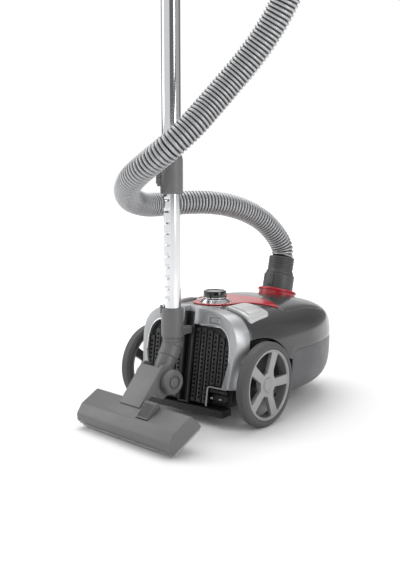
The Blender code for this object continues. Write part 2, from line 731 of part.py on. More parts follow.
def lid_seal():
    """A rubber gasket on the tub's ledge, under the lid's rim."""
    low = 165 * MM
    loop = lid_plan(-14 * MM)
    inside = lid_plan(-18 * MM)
    reach = LID_FRONT_Y - 22 * MM
    loop = [(x, min(y, reach)) for x, y in loop]
    inside = [(x, min(y, reach - 4 * MM)) for x, y in inside]
    outline("lid_seal", [loop, inside[::-1]], low, low + 3 * MM, FOAM)


def lid_latch():
    """The catch at the lid's front edge."""
    y = LID_FRONT_Y + LID_GAP
    z = top(y) - 14 * MM
    box("lid_latch", (-16 * MM, y - 16 * MM, z - 14 * MM), (16 * MM, y - 9 * MM, z + 1 * MM), BLACK, bevel=1.5 * MM)


def hose_cuff():
    """The plug-in cuff, the ribbed collar turning in it and the cuff's release button."""
    frame = inlet_frame(CUFF_LEAN)
    bore = CUFF_R - CUFF_WALL
    cuff = turned("hose_cuff", [(CUFF_R - 2.5 * MM, CUFF_HEIGHT), (CUFF_R, CUFF_HEIGHT - 2.5 * MM), (CUFF_R, -12 * MM),
                                (bore, -12 * MM), (bore, CUFF_HEIGHT)], CUFF_GREY, frame, ring=True)
    cut(cuff, box("button_slot", (-7.5 * MM, -CUFF_R - 5 * MM, 14 * MM), (7.5 * MM, -bore + 10 * MM, 38 * MM),
                  CUFF_GREY, frame))
    box("cuff_button", (-7 * MM, -CUFF_R - 1.5 * MM, 14.6 * MM), (7 * MM, -bore - 1 * MM, 37.4 * MM), CUFF_GREY,
        frame, bevel=1 * MM)
    low = CUFF_HEIGHT + GAP
    high = CUFF_HEIGHT + COLLAR_HEIGHT
    profile = [(COLLAR_R - 1 * MM, high)]
    ribs = 3
    for i in range(ribs):
        crest = high - (i + 0.5) * (COLLAR_HEIGHT - 4 * MM) / ribs
        profile += [(COLLAR_R, crest + 2 * MM), (COLLAR_R, crest - 1 * MM), (COLLAR_R - 1.2 * MM, crest - 2.2 * MM)]
    profile += [(COLLAR_R + 2 * MM, low + 2 * MM), (COLLAR_R + 2 * MM, low), (COLLAR_R - 3 * MM, low),
                (COLLAR_R - 3 * MM, high)]
    turned("hose_collar", profile, CUFF_GREY, frame, ring=True)


# ---- inside ---------------------------------------------------------------------------------
MOTOR_X = -48 * MM
MOTOR_Z = 108 * MM
MOTOR_R = 50 * MM
MOTOR_REAR = -76 * MM
MOTOR_FRONT = 24 * MM


def motor():
    """The motor's can with its fan at the open front end, and the foam filter ahead of it."""
    frame = along((0, 1, 0), (MOTOR_X, 0, MOTOR_Z))
    bore = MOTOR_R - 3 * MM
    floor = MOTOR_REAR + 4 * MM
    core_r = 34 * MM
    core_front = MOTOR_FRONT - 34 * MM
    turned("motor_housing", [(0, core_front), (core_r, core_front), (core_r, floor), (bore, floor),
                             (bore, MOTOR_FRONT - 5 * MM), (bore - 6 * MM, MOTOR_FRONT),
                             (bore - 3 * MM, MOTOR_FRONT + 1 * MM), (MOTOR_R, MOTOR_FRONT - 5 * MM),
                             (MOTOR_R, MOTOR_REAR + 6 * MM), (MOTOR_R - 6 * MM, MOTOR_REAR), (0, MOTOR_REAR)],
           SILVER, frame)
    blades = bore - 3 * MM
    front, back = MOTOR_FRONT - 12 * MM, MOTOR_FRONT - 26 * MM
    turned("fan_rotor", [(0, front), (10 * MM, front), (blades, front - 6 * MM), (blades, back), (4 * MM, back),
                         (4 * MM, core_front + 1 * MM), (0, core_front + 1 * MM)], SILVER, frame)
    z_low, z_high = MOTOR_Z - 52 * MM, MOTOR_Z + 52 * MM
    box("motor_filter", (MOTOR_X - 52 * MM, MOTOR_FRONT + 3 * MM, z_low),
        (MOTOR_X + 52 * MM, MOTOR_FRONT + 9 * MM, z_high), FOAM)
    holder = box("bulkhead", (-104 * MM, MOTOR_FRONT + 10 * MM, BOTTOM_Z + 30 * MM),
                 (104 * MM, MOTOR_FRONT + 13 * MM, 180 * MM), BLACK)
    for i in range(5):
        x = MOTOR_X - 40 * MM + i * 18 * MM
        cut(holder, box(f"bulkhead_slot_{i}", (x, 0, MOTOR_Z - 35 * MM), (x + 8 * MM, 0.06, MOTOR_Z + 35 * MM), BLACK))


REEL_R = 50 * MM
REEL_Y = -30 * MM
REEL_X = (24 * MM, 66 * MM)


def cord_reel():
    """The spool that winds the mains cord, on a bracket with its spindle."""
    y, z = REEL_Y, 108 * MM
    left, right = REEL_X
    turned("cord_reel", [(REEL_R, right - left), (REEL_R, right - left - 3 * MM), (26 * MM, right - left - 3 * MM),
                         (26 * MM, 3 * MM), (REEL_R, 3 * MM), (REEL_R, 0), (6.3 * MM, 0), (6.3 * MM, right - left)],
           BUMPER_GREY, along((1, 0, 0), (left, y, z)), ring=True)
    bracket = box("reel_bracket", (right + 2 * MM, y - 20 * MM, BOTTOM_Z + 14 * MM),
                  (right + 6 * MM, y + 20 * MM, z + 20 * MM), SILVER)
    join(bracket, rod("reel_spindle", 6 * MM, (left - 4 * MM, y, z), (right + 4 * MM, y, z), SILVER, 24))


def dust_bag():
    """The filled paper bag, and the card plate that holds its mouth under the inlet."""
    bag = box("dust_bag", (-92 * MM, 46 * MM, 62 * MM), (92 * MM, 226 * MM, 150 * MM), PAPER)
    swell = bag.modifiers.new("swollen", "SUBSURF")
    swell.levels = 2
    swell.render_levels = 2
    plate = box("bag_holder", (-50 * MM, INLET_Y - 55 * MM, 153 * MM), (50 * MM, INLET_Y + 40 * MM, 156 * MM), BLACK,
                bevel=1 * MM)
    cut(plate, rod("bag_mouth", 27 * MM, (0, INLET_Y - 9 * MM, 0.14), (0, INLET_Y - 9 * MM, 0.17), BLACK, 24))


# ---- wheels ---------------------------------------------------------------------------------
WHEEL_STEPS = 32


def wheels():
    for side, name in ((1, "right"), (-1, "left")):
        frame = along((side, 0, 0), (0, AXLE_Y, TYRE_R))
        outer, inner = TRACK_HALF, TRACK_HALF - TYRE_WIDTH
        edge = 5 * MM
        turned("tyre_" + name, [(HUB_R + GAP, outer), (TYRE_R - edge, outer), (TYRE_R - 1.5 * MM, outer - 2 * MM),
                                (TYRE_R, outer - edge), (TYRE_R, inner + edge), (TYRE_R - edge, inner),
                                (HUB_R + GAP, inner)], TYRE_GREY, frame, WHEEL_STEPS, ring=True)
        rim = HUB_R - 6 * MM
        loops = [arc((0, 0), HUB_R, 0, 360 - 360 / WHEEL_STEPS, WHEEL_STEPS)]
        boss = 17 * MM
        half = SPOKE_WIDTH / 2
        for i in range(SPOKES):
            middle = 90 + 360 / SPOKES * (i + 0.5)
            at_rim = 180 / SPOKES - math.degrees(math.asin(half / rim))
            at_boss = 180 / SPOKES - math.degrees(math.asin(half * 0.8 / (boss + 8 * MM)))
            loops.append(arc((0, 0), rim, middle - at_rim, middle + at_rim, 3)
                         + arc((0, 0), boss + 8 * MM, middle + at_boss, middle - at_boss, 2))
        low = TRACK_HALF - 2 * MM - HUB_WIDTH
        hub = outline("hub_" + name, loops, TRACK_HALF - 11 * MM, TRACK_HALF - 2 * MM, SILVER, frame)
        join(hub, sleeve("rim_" + name, HUB_R - 0.01 * MM, rim + 0.2 * MM, low, TRACK_HALF - 4 * MM, SILVER, frame, WHEEL_STEPS))
        join(hub, rod("hub_boss_" + name, boss, frame @ Vector((0, 0, low)), frame @ Vector((0, 0, TRACK_HALF - 5 * MM)),
                      SILVER, 12))
        cut(hub, rod("hub_bore_" + name, AXLE_R + 0.05 * MM, frame @ Vector((0, 0, low - 0.01)),
                     frame @ Vector((0, 0, TRACK_HALF - 8 * MM)), SILVER, 24))
        rod("axle_" + name, AXLE_R, frame @ Vector((0, 0, TUB_HALF_W - 14 * MM)),
            frame @ Vector((0, 0, TRACK_HALF - 9 * MM)), CHROME, 24)


def caster():
    """The front castor: a fork turning on a pin in its pocket, and a wheel behind the pin."""
    fork_top = CASTER_POCKET_TOP - 3 * MM
    half = CASTER_WIDTH / 2
    fork = turned("caster_fork", [(CASTER_PIN_R, CASTER_POCKET_TOP + 12 * MM), (CASTER_PIN_R, fork_top),
                                  (26 * MM, fork_top), (26 * MM, fork_top - 4 * MM), (0, fork_top - 4 * MM)],
                  BLACK, Matrix.Translation((0, CASTER_Y, 0)), 24)
    fork.data.vertices.add(1)
    fork.data.vertices[-1].co = (0, 0, CASTER_POCKET_TOP + 12 * MM)
    fork.data.edges.add(1)
    fork.data.edges[-1].vertices = (len(fork.data.vertices) - 1, 0)
    wheel_y = CASTER_Y - CASTER_TRAIL
    for side in (1, -1):
        low, high = sorted((side * (half + 0.8 * MM), side * (half + 3.8 * MM)))
        join(fork, box(f"fork_cheek_{side}", (low, wheel_y - 7 * MM, CASTER_R - 6 * MM),
                       (high, wheel_y + 15 * MM, fork_top - 2 * MM), BLACK))
    join(fork, rod("caster_axle", 2.5 * MM, (-half - 2 * MM, wheel_y, CASTER_R), (half + 2 * MM, wheel_y, CASTER_R),
                   BLACK, 12))
    sleeve("caster_wheel", CASTER_R, 2.6 * MM, -half, half, TYRE_GREY, along((1, 0, 0), (0, wheel_y, CASTER_R)), 24,
           chamfer=2 * MM)


# ---- hose -----------------------------------------------------------------------------------
def smooth_route(route, step=4):
    """Points of a Catmull-Rom curve through the route's own points."""
    points = [Vector(p) * MM for p in route]
    line = []
    for i in range(len(points) - 1):
        before = points[max(0, i - 1)]
        after = points[min(len(points) - 1, i + 2)]
        a, b = points[i], points[i + 1]
        for j in range(step):
            t = j / step
            line.append(0.5 * (2 * a + (b - before) * t + (2 * before - 5 * a + 4 * b - after) * t * t
                               + (3 * a - before - 3 * b + after) * t ** 3))
    return line + [points[-1]]


def hose():
    """Three lengths end to end, so that the lid, the wand and its upper tube can each move one."""
    step = 2
    line = smooth_route(HOSE_ROUTE, step)
    first, second = (i * step for i in HOSE_SPLITS)
    stretches = {"hose_a": line[:first + 1], "hose_b": line[first:second + 1], "hose_c": line[second:]}
    for split in (first, second):
        heading = (line[split + 1] - line[split - 1]).normalized()
        for points in stretches.values():
            if points[-1] == line[split]:
                points[-1:] = [line[split] - heading * 6 * MM, line[split] - heading * GAP / 2]
            elif points[0] == line[split]:
                points[:1] = [line[split] + heading * GAP / 2, line[split] + heading * 6 * MM]
    for name, points in stretches.items():
        pipe(name, points, HOSE_R, HOSE_GREY, 2)


# ---- wand -----------------------------------------------------------------------------------
def wand():
    centre = Matrix.Translation((0, WAND_Y, 0))
    bore = INNER_TUBE_R + GAP
    sleeve("wand_inner_tube", INNER_TUBE_R, INNER_TUBE_R - TUBE_WALL, INNER_TUBE_LOW,
           INNER_TUBE_LOW + INNER_TUBE_LENGTH, CHROME, centre)
    sleeve("wand_outer_tube", OUTER_TUBE_R, OUTER_TUBE_R - TUBE_WALL, OUTER_TUBE_LOW,
           OUTER_TUBE_LOW + OUTER_TUBE_LENGTH, CHROME, centre)
    low = OUTER_TUBE_LOW - 4 * MM
    collar = turned("telescope_collar", [
        (OUTER_TUBE_R + GAP, low + COLLAR_SLEEVE_LENGTH), (COLLAR_SLEEVE_R - 1 * MM, low + COLLAR_SLEEVE_LENGTH),
        (COLLAR_SLEEVE_R, low + COLLAR_SLEEVE_LENGTH - 2 * MM), (COLLAR_SLEEVE_R, low + 2 * MM),
        (COLLAR_SLEEVE_R - 2 * MM, low), (bore, low), (bore, OUTER_TUBE_LOW - GAP),
        (OUTER_TUBE_R + GAP, OUTER_TUBE_LOW - GAP)], NOZZLE_GREY, centre, ring=True)
    front = centre @ Matrix.Rotation(SLIDER_TURN, 4, "Z")
    track = box("slider_track", (COLLAR_SLEEVE_R - 3 * MM, -7 * MM, low + 14 * MM),
                (COLLAR_SLEEVE_R + 6 * MM, 7 * MM, low + COLLAR_SLEEVE_LENGTH - 14 * MM), NOZZLE_GREY, front)
    join(collar, track)
    pocket = COLLAR_SLEEVE_R + 1.2 * MM
    cut(collar, box("slider_pocket", (pocket, -5 * MM, low + 18 * MM),
                    (COLLAR_SLEEVE_R + 9 * MM, 5 * MM, low + COLLAR_SLEEVE_LENGTH - 18 * MM), NOZZLE_GREY, front))
    box("collar_slider", (pocket + GAP, -4.6 * MM, low + 19 * MM), (COLLAR_SLEEVE_R + 8 * MM, 4.6 * MM, low + 44 * MM),
        CUFF_GREY, front, bevel=1 * MM)


SLIDER_TURN = math.radians(221)


def wand_handle():
    """The bent handle: a sleeve over the outer tube, a bend, a grip and the hose's port."""
    seat = OUTER_TUBE_LOW + OUTER_TUBE_LENGTH - 30 * MM
    port = Vector(HOSE_ROUTE[-1]) * MM
    heading = (port - Vector(HOSE_ROUTE[-2]) * MM).normalized()
    end = port + heading * GAP
    bend = [(0, WAND_Y, seat + 42 * MM), (4 * MM, WAND_Y, seat + 62 * MM), (17 * MM, WAND_Y, seat + 80 * MM),
            (37 * MM, WAND_Y, seat + 92 * MM), end + heading * 30 * MM, end]
    seat_pipe = [(0, WAND_Y, seat)] + bend[:-1] + [end + heading * 2 * MM]
    handle = pipe("wand_handle", seat_pipe, HANDLE_R, NOZZLE_GREY, 4, solid=True)
    cuff = pipe("handle_cuff", [end + heading * 26 * MM, end], HOSE_R + 4 * MM, NOZZLE_GREY, 4, solid=True)
    join(handle, cuff)
    bore = pipe("handle_bore", [(0, WAND_Y, seat - 0.02)] + bend[:-1] + [end - heading * 10 * MM], HANDLE_BORE_R,
                NOZZLE_GREY, 3, solid=True)
    cut(handle, bore)
    cut(handle, rod("handle_socket", OUTER_TUBE_R + GAP, (0, WAND_Y, seat - 0.01),
                    (0, WAND_Y, seat + 30 * MM + GAP), NOZZLE_GREY, 32))
    grip = Vector(bend[3])
    run = (end - grip).normalized()
    frame = along(run, grip + run * 22 * MM)
    side = frame.to_3x3() @ Vector((-1, 0, 0))
    turn = 0 if side.z > 0 else math.pi
    frame = frame @ Matrix.Rotation(turn, 4, "Z")
    cut(handle, box("vent_window", (-HANDLE_R - 5 * MM, -5 * MM, 0), (-HANDLE_R + 2.6 * MM, 5 * MM, 26 * MM),
                    NOZZLE_GREY, frame))
    box("vent_slider", (-HANDLE_R - 1.5 * MM, -4.6 * MM, 0.5 * MM), (-HANDLE_R + 2.2 * MM, 4.6 * MM, 15 * MM),
        CUFF_GREY, frame, bevel=0.8 * MM)


def nozzle_socket():
    """The sleeve at the wand's foot, with the park hook on its back and a latch above it."""
    centre = Matrix.Translation((0, WAND_Y, 0))
    bore = INNER_TUBE_R + GAP
    seat = INNER_TUBE_LOW - GAP
    high = SOCKET_LOW + SOCKET_LENGTH
    socket = turned("nozzle_socket", [
        (bore, high), (SOCKET_R - 1.5 * MM, high), (SOCKET_R, high - 1.5 * MM), (SOCKET_R, SOCKET_LOW + 1 * MM),
        (SOCKET_R - 1 * MM, SOCKET_LOW), (bore - 3 * MM, SOCKET_LOW), (bore - 3 * MM, seat), (bore, seat)],
        NOZZLE_GREY, centre, ring=True)
    hook_low, hook_high = SOCKET_LOW + 1 * MM, SOCKET_LOW + 15 * MM
    face = REAR_Y + (hook_low - BOTTOM_Z) * math.tan(REAR_LEAN)
    reach = face + (CHANNEL_DEPTH - 6.5 * MM) / math.cos(REAR_LEAN)
    join(socket, box("park_hook", (-SLOT_HALF_W + 1.5 * MM, WAND_Y + SOCKET_R - 2 * MM, hook_low),
                     (SLOT_HALF_W - 1.5 * MM, reach, hook_high), NOZZLE_GREY))
    front = centre @ Matrix.Rotation(SLIDER_TURN, 4, "Z")
    cut(socket, box("latch_notch", (SOCKET_R - 4.2 * MM, -4.5 * MM, high - 11 * MM), (SOCKET_R + 0.01, 4.5 * MM, high + 0.01),
                    NOZZLE_GREY, front))
    box("socket_button", (SOCKET_R - 2.7 * MM, -4.1 * MM, high - 10.6 * MM), (SOCKET_R + 1.8 * MM, 4.1 * MM, high + 5 * MM),
        NOZZLE_GREY, front, bevel=0.8 * MM)


# ---- floor nozzle ---------------------------------------------------------------------------
STRAIGHT = Matrix.Translation((0, WAND_Y, 0))
TURN = STRAIGHT @ Matrix.Translation((0, -HINGE_REACH, 0)) @ Matrix.Rotation(NOZZLE_YAW, 4, "Z") \
    @ Matrix.Translation((0, HINGE_REACH, 0))


def hinge_frame():
    """The head's frame on the hinge: X along the hinge, Y towards the rear, Z off the sole."""
    return TURN @ Matrix.Translation((0, -HINGE_REACH, HINGE_Z)) @ Matrix.Rotation(HEAD_PITCH, 4, "X")


HINGE = hinge_frame()
HEAD = HINGE @ Matrix.Translation((HEAD_OFFSET, 0, 0))
PROFILE = Matrix(((0, 0, 1, 0), (1, 0, 0, 0), (0, 1, 0, 0), (0, 0, 0, 1)))


def neck_elbow():
    """The turning elbow: a bent duct from the socket to the hinge barrel."""
    high = SOCKET_LOW - GAP
    hinge = Vector((0, -HINGE_REACH, HINGE_Z))
    knee = Vector((0, -3 * MM, high - 20 * MM))
    heading = (hinge - knee).normalized()
    line = [Vector((0, 0, high)), Vector((0, 0, high - 10 * MM)), knee, hinge]
    elbow = pipe("neck_elbow", [STRAIGHT @ p for p in line], NECK_DUCT_R, NOZZLE_GREY, 4, solid=True)
    barrel = [TURN @ (hinge + Vector((side * BARREL_HALF_W, 0, 0))) for side in (-1, 1)]
    join(elbow, rod("hinge_barrel", BARREL_R, barrel[0], barrel[1], NOZZLE_GREY, 24))
    inside = [Vector((0, 0, high + 0.01)), line[1], knee, hinge + heading * (BARREL_R + 5 * MM)]
    cut(elbow, pipe("elbow_bore", [STRAIGHT @ p for p in inside], NECK_DUCT_R - 4 * MM, NOZZLE_GREY, 4, solid=True))


def neck_cover():
    """The head's fork: two cheeks round the barrel behind a sloping front plate."""
    loop = [(-86 * MM, HEAD_TOP + 0.3 * MM), (2 * MM, 36 * MM), (14 * MM, 27 * MM), (22 * MM, 6 * MM),
            (18 * MM, -15 * MM), (4 * MM, -24 * MM), (-30 * MM, -20 * MM), (-40 * MM, HEAD_TOP + 0.3 * MM)]
    cover = outline("neck_cover", [loop], -NECK_HALF_W, NECK_HALF_W, NOZZLE_GREY, HINGE @ PROFILE, bevel=2 * MM)
    plate = 3 * MM
    clear = BARREL_R + 1 * MM
    inner = BARREL_HALF_W + 0.5 * MM
    room = [(-66 * MM, HEAD_TOP + 3 * MM), (-4 * MM, 33 * MM - plate + 1 * MM), (6 * MM, 60 * MM), (60 * MM, 60 * MM),
            (60 * MM, -60 * MM), (-clear, -60 * MM), (-clear - 10 * MM, 0)]
    cut(cover, outline("barrel_room", [room], -inner, inner, NOZZLE_GREY, HINGE @ PROFILE))
    for side, name in ((1, "right"), (-1, "left")):
        frame = HINGE @ along((side, 0, 0), (0, 0, 0))
        low = NECK_HALF_W + GAP
        turned("pivot_cap_" + name, [
            (0, low + CAP_WIDTH - 1.5 * MM), (CAP_R - 11 * MM, low + CAP_WIDTH - 1.5 * MM),
            (CAP_R - 9 * MM, low + CAP_WIDTH), (CAP_R - 3 * MM, low + CAP_WIDTH), (CAP_R, low + CAP_WIDTH - 3 * MM),
            (CAP_R, low), (0, low)], NOZZLE_GREY, frame, 24)


HEAD_TOP = HEAD_HEIGHT - SOLE_DROP


def head_profile(inset=0.0):
    """The head's side outline in the hinge's frame: a flat sole, a round nose, a sloping back."""
    rear = -HEAD_REACH - inset
    front = rear - HEAD_DEPTH + 2 * inset
    low = SOLE_THICK + GAP - SOLE_DROP
    high = HEAD_TOP - inset
    nose = arc((front + 6 * MM, low + 14 * MM), 12 * MM, 250, 150, 5)
    return [(rear, low + inset), (rear - 10 * MM, high)] + [(front + 22 * MM, high), (front + 8 * MM, high - 5 * MM)] \
        + [(y, z + inset) for y, z in nose[::-1]]


def head_shell():
    half = HEAD_WIDTH / 2
    head = outline("head_shell", [head_profile()], -half, half, NOZZLE_GREY, HEAD @ PROFILE, bevel=2.5 * MM)
    wall = 3 * MM
    low = -SOLE_DROP - 5 * MM
    room = [(-HEAD_REACH - wall - 1 * MM, low), (-HEAD_REACH - wall - 9 * MM, HEAD_TOP - wall),
            (-HEAD_REACH - HEAD_DEPTH + 22 * MM, HEAD_TOP - wall), (-HEAD_REACH - HEAD_DEPTH + 8 * MM, -10 * MM),
            (-HEAD_REACH - HEAD_DEPTH + 5 * MM, low)]
    cut(head, outline("head_room", [room], wall - half, half - wall, NOZZLE_GREY, HEAD @ PROFILE))
    cut(head, box("pedal_window", (PEDAL_X - 16 * MM, PEDAL_Y - 20 * MM, -0.01), (PEDAL_X + 16 * MM, PEDAL_Y + 20 * MM, 0.05),
                  NOZZLE_GREY, HEAD))
    cut(head, rod("duct_hole", 15 * MM, HINGE @ Vector((0, -HEAD_REACH - 24 * MM, -0.01)),
                  HINGE @ Vector((0, -HEAD_REACH - 24 * MM, 0.03)), NOZZLE_GREY, 24))


PEDAL_X = 38 * MM
PEDAL_Y = -82 * MM


def sole():
    """The sole plate with its suction slot, the brush strips beside it and the rear roller."""
    half = HEAD_WIDTH / 2 - 2 * MM
    rear = -HEAD_REACH - 3 * MM
    front = -HEAD_REACH - HEAD_DEPTH + 3 * MM
    mouth_y = (rear + front) / 2
    plate = box("sole_plate", (-half, front, -SOLE_DROP), (half, rear, SOLE_THICK - SOLE_DROP), SILVER, HEAD)
    mouth = 6 * MM
    cut(plate, box("suction_slot", (12 * MM - half, mouth_y - mouth, -0.05), (half - 12 * MM, mouth_y + mouth, 0), SILVER, HEAD))
    strip_half = half - 14 * MM
    offset = mouth + 6 * MM
    slot = 2.5 * MM
    for sign in (1, -1):
        y = mouth_y + sign * offset
        cut(plate, box(f"brush_slot_{sign}", (-strip_half - 1 * MM, y - slot, -0.05), (strip_half + 1 * MM, y + slot, 0),
                       SILVER, HEAD))
    base = SOLE_THICK - SOLE_DROP + 3.5 * MM
    carrier = box("brush_strips", (-strip_half, mouth_y - offset - slot + GAP, base),
                  (strip_half, mouth_y + offset + slot - GAP, base + 2 * MM), BRISTLE, HEAD)
    cut(carrier, box("carrier_mouth", (-strip_half + 6 * MM, mouth_y - mouth, -0.05), (strip_half - 6 * MM, mouth_y + mouth, 0),
                     BRISTLE, HEAD))
    for sign in (1, -1):
        y = mouth_y + sign * offset
        join(carrier, box(f"bristles_{sign}", (-strip_half, y - slot + GAP, 0.8 * MM - SOLE_DROP),
                          (strip_half, y + slot - GAP, base + 1 * MM), BRISTLE, HEAD))


def nozzle_pedal():
    """The ribbed rocker that lowers and raises the brush strips."""
    loop = [(PEDAL_Y - 18 * MM, HEAD_TOP - 2 * MM), (PEDAL_Y + 18 * MM, HEAD_TOP - 2 * MM),
            (PEDAL_Y + 18 * MM, HEAD_TOP + 9 * MM), (PEDAL_Y + 12 * MM, HEAD_TOP + 12 * MM), (PEDAL_Y - 18 * MM, HEAD_TOP + 2 * MM)]
    outline("nozzle_pedal", [loop], PEDAL_X - 15 * MM, PEDAL_X + 15 * MM, NOZZLE_GREY, HEAD @ PROFILE, bevel=1 * MM)


upper_shell()
front_bumper()
lower_chassis()
rear_bezel()
grille_latches()
park_channel()
grille_half(1, "right")
grille_half(-1, "left")
recess_and_plug()
hepa_filter()
top_trim()
knob()
electronics()
pedals()
dust_lid()
inlet_ring()
lid_seal()
lid_latch()
hose_cuff()
motor()
cord_reel()
dust_bag()
wheels()
caster()
hose()
wand()
wand_handle()
nozzle_socket()
neck_elbow()
neck_cover()
head_shell()
sole()
nozzle_pedal()
bpy.context.view_layer.update()
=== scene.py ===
# %% [markdown]
# # A canister vacuum cleaner, parked upright
# The imported model brings every part's size, place and motion. This script gives the parts
# their finished forms and finishes. It starts by loading that model as a fixed frame, and
# every finished piece but the hose then rides on one of its bodies.

# %% Load the frame
import math

import bmesh
import bpy
from mathutils import Matrix, Vector


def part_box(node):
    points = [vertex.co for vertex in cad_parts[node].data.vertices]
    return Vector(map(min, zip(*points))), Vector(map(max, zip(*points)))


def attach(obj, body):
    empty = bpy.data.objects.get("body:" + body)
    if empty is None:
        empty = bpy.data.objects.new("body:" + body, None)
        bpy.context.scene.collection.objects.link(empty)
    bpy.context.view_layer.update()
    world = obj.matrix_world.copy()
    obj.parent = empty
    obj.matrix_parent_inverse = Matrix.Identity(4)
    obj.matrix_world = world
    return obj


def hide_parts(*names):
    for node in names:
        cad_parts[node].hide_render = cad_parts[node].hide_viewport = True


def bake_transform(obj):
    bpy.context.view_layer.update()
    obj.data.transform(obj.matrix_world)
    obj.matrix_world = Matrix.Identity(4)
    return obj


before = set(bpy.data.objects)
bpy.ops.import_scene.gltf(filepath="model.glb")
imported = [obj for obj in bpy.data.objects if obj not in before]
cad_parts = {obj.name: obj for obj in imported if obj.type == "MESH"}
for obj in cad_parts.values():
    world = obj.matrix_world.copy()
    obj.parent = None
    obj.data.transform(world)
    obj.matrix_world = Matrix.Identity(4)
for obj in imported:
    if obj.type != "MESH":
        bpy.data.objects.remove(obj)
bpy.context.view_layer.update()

MM = 0.001


def mm(*lengths):
    """Lengths in millimetres, as metres."""
    return tuple(length * MM for length in lengths)


# %% [markdown]
# The camera stands behind the cleaner on its right, a little above the handle of the nozzle,
# and looks slightly down. It comes first, with the hose, because both decide the room taken.

# %% Camera
AZIMUTH = math.radians(38.5)
PITCH = math.radians(8.6)
CAMERA_PLACE = Vector((0.996, -1.310, 0.480))
LENS_MM = 51.54
look = Vector((-math.sin(AZIMUTH) * math.cos(PITCH), math.cos(AZIMUTH) * math.cos(PITCH), -math.sin(PITCH)))
camera = bpy.data.objects.new("camera", bpy.data.cameras.new("camera"))
camera.data.sensor_fit = "VERTICAL"
camera.data.sensor_height = 36
camera.data.lens = LENS_MM
camera.data.shift_x = -0.0088
camera.data.shift_y = 0.0193
camera.location = CAMERA_PLACE
camera.rotation_euler = look.to_track_quat("-Z", "Y").to_euler()
bpy.context.scene.collection.objects.link(camera)
bpy.context.scene.camera = camera
bpy.context.scene.view_settings.view_transform = "Standard"
print("camera at", [round(c, 3) for c in camera.location])

# %% [markdown]
# Every finish is a node tree. One helper adds a node, sets it up and joins its inputs, and one
# turns a colour as it would be typed on screen into the linear numbers that shaders use.


# %% Helpers for finishes
def linear(code):
    """Linear RGBA from an sRGB hex code."""
    channels = [int(code[i:i + 2], 16) / 255 for i in (1, 3, 5)]
    return (*[c / 12.92 if c <= 0.04045 else ((c + 0.055) / 1.055) ** 2.4 for c in channels], 1)


def add(tree, kind, settings=None, **inputs):
    """Adds a node. An input is a value, or the output of another node."""
    node = tree.nodes.new(kind)
    for key, value in (settings or {}).items():
        setattr(node, key, value)
    for key, value in inputs.items():
        socket = node.inputs[int(key[1:]) if key[0] == "i" and key[1:].isdigit() else key.replace("_", " ")]
        if isinstance(value, bpy.types.NodeSocket):
            tree.links.new(value, socket)
        else:
            socket.default_value = value
    return node


def start(name, colour, roughness, metallic=0.0, **sockets):
    """A material with its shader, whose even values sit on the shader's own sockets."""
    made = bpy.data.materials.new(name)
    made.use_nodes = True
    tree = made.node_tree
    shader = tree.nodes["Principled BSDF"]
    shader.inputs["Base Color"].default_value = linear(colour)
    shader.inputs["Roughness"].default_value = roughness
    shader.inputs["Metallic"].default_value = metallic
    for key, value in sockets.items():
        shader.inputs[key.replace("_", " ")].default_value = value
    return made, tree, shader


def place(tree):
    return add(tree, "ShaderNodeTexCoord").outputs["Object"]


def speckle(tree, shader, grain_mm, dark, light, detail=2.0):
    """Fine colour variation between two tones."""
    cloud = add(tree, "ShaderNodeTexNoise", Vector=place(tree), Scale=1000 / grain_mm, Detail=detail)
    mix = add(tree, "ShaderNodeMix", {"data_type": "RGBA"}, Factor=cloud.outputs["Fac"],
              i6=linear(dark), i7=linear(light))
    tree.links.new(mix.outputs[2], shader.inputs["Base Color"])
    return cloud


def roughen(tree, shader, patch_mm, low, high):
    """Slow variation of the gloss, as handling and wiping leave it."""
    cloud = add(tree, "ShaderNodeTexNoise", Vector=place(tree), Scale=1000 / patch_mm, Detail=4.0)
    gloss = add(tree, "ShaderNodeMapRange", Value=cloud.outputs["Fac"], i1=0.3, i2=0.7, i3=low, i4=high)
    tree.links.new(gloss.outputs[0], shader.inputs["Roughness"])


def emboss(tree, shader, grain_mm, height_mm, kind="ShaderNodeTexNoise", out="Fac"):
    """A fine moulded or worn surface as bump."""
    grain = add(tree, kind, Vector=place(tree), Scale=1000 / grain_mm)
    bump = add(tree, "ShaderNodeBump", Height=grain.outputs[out], Distance=height_mm * MM, Strength=0.6)
    tree.links.new(bump.outputs["Normal"], shader.inputs["Normal"])


# %% [markdown]
# The body's shell is ABS sprayed with a dark metallic lacquer and a clear coat: deep, nearly
# even, with crisp reflections. The bumper is the same plastic left satin. The bezel, hubs and
# pedals carry silver paint, whose flakes are far too fine to show, so they are drawn at 0.4 mm.

# %% Painted and moulded plastics
FLAKE_MM = 0.4
PATCH_MM = 45


def lacquered(name, dark, light, roughness, coat, metallic=0.0):
    made, tree, shader = start(name, dark, roughness, metallic, Coat_Weight=coat, Coat_Roughness=0.05)
    speckle(tree, shader, FLAKE_MM, dark, light)
    roughen(tree, shader, PATCH_MM, roughness * 0.85, roughness * 1.2)
    return made


def moulded(name, dark, light, roughness, grain_mm=0.8, height_mm=0.03):
    made, tree, shader = start(name, dark, roughness)
    speckle(tree, shader, 6.0, dark, light, 5.0)
    roughen(tree, shader, PATCH_MM, roughness * 0.88, roughness * 1.12)
    emboss(tree, shader, grain_mm, height_mm)
    return made


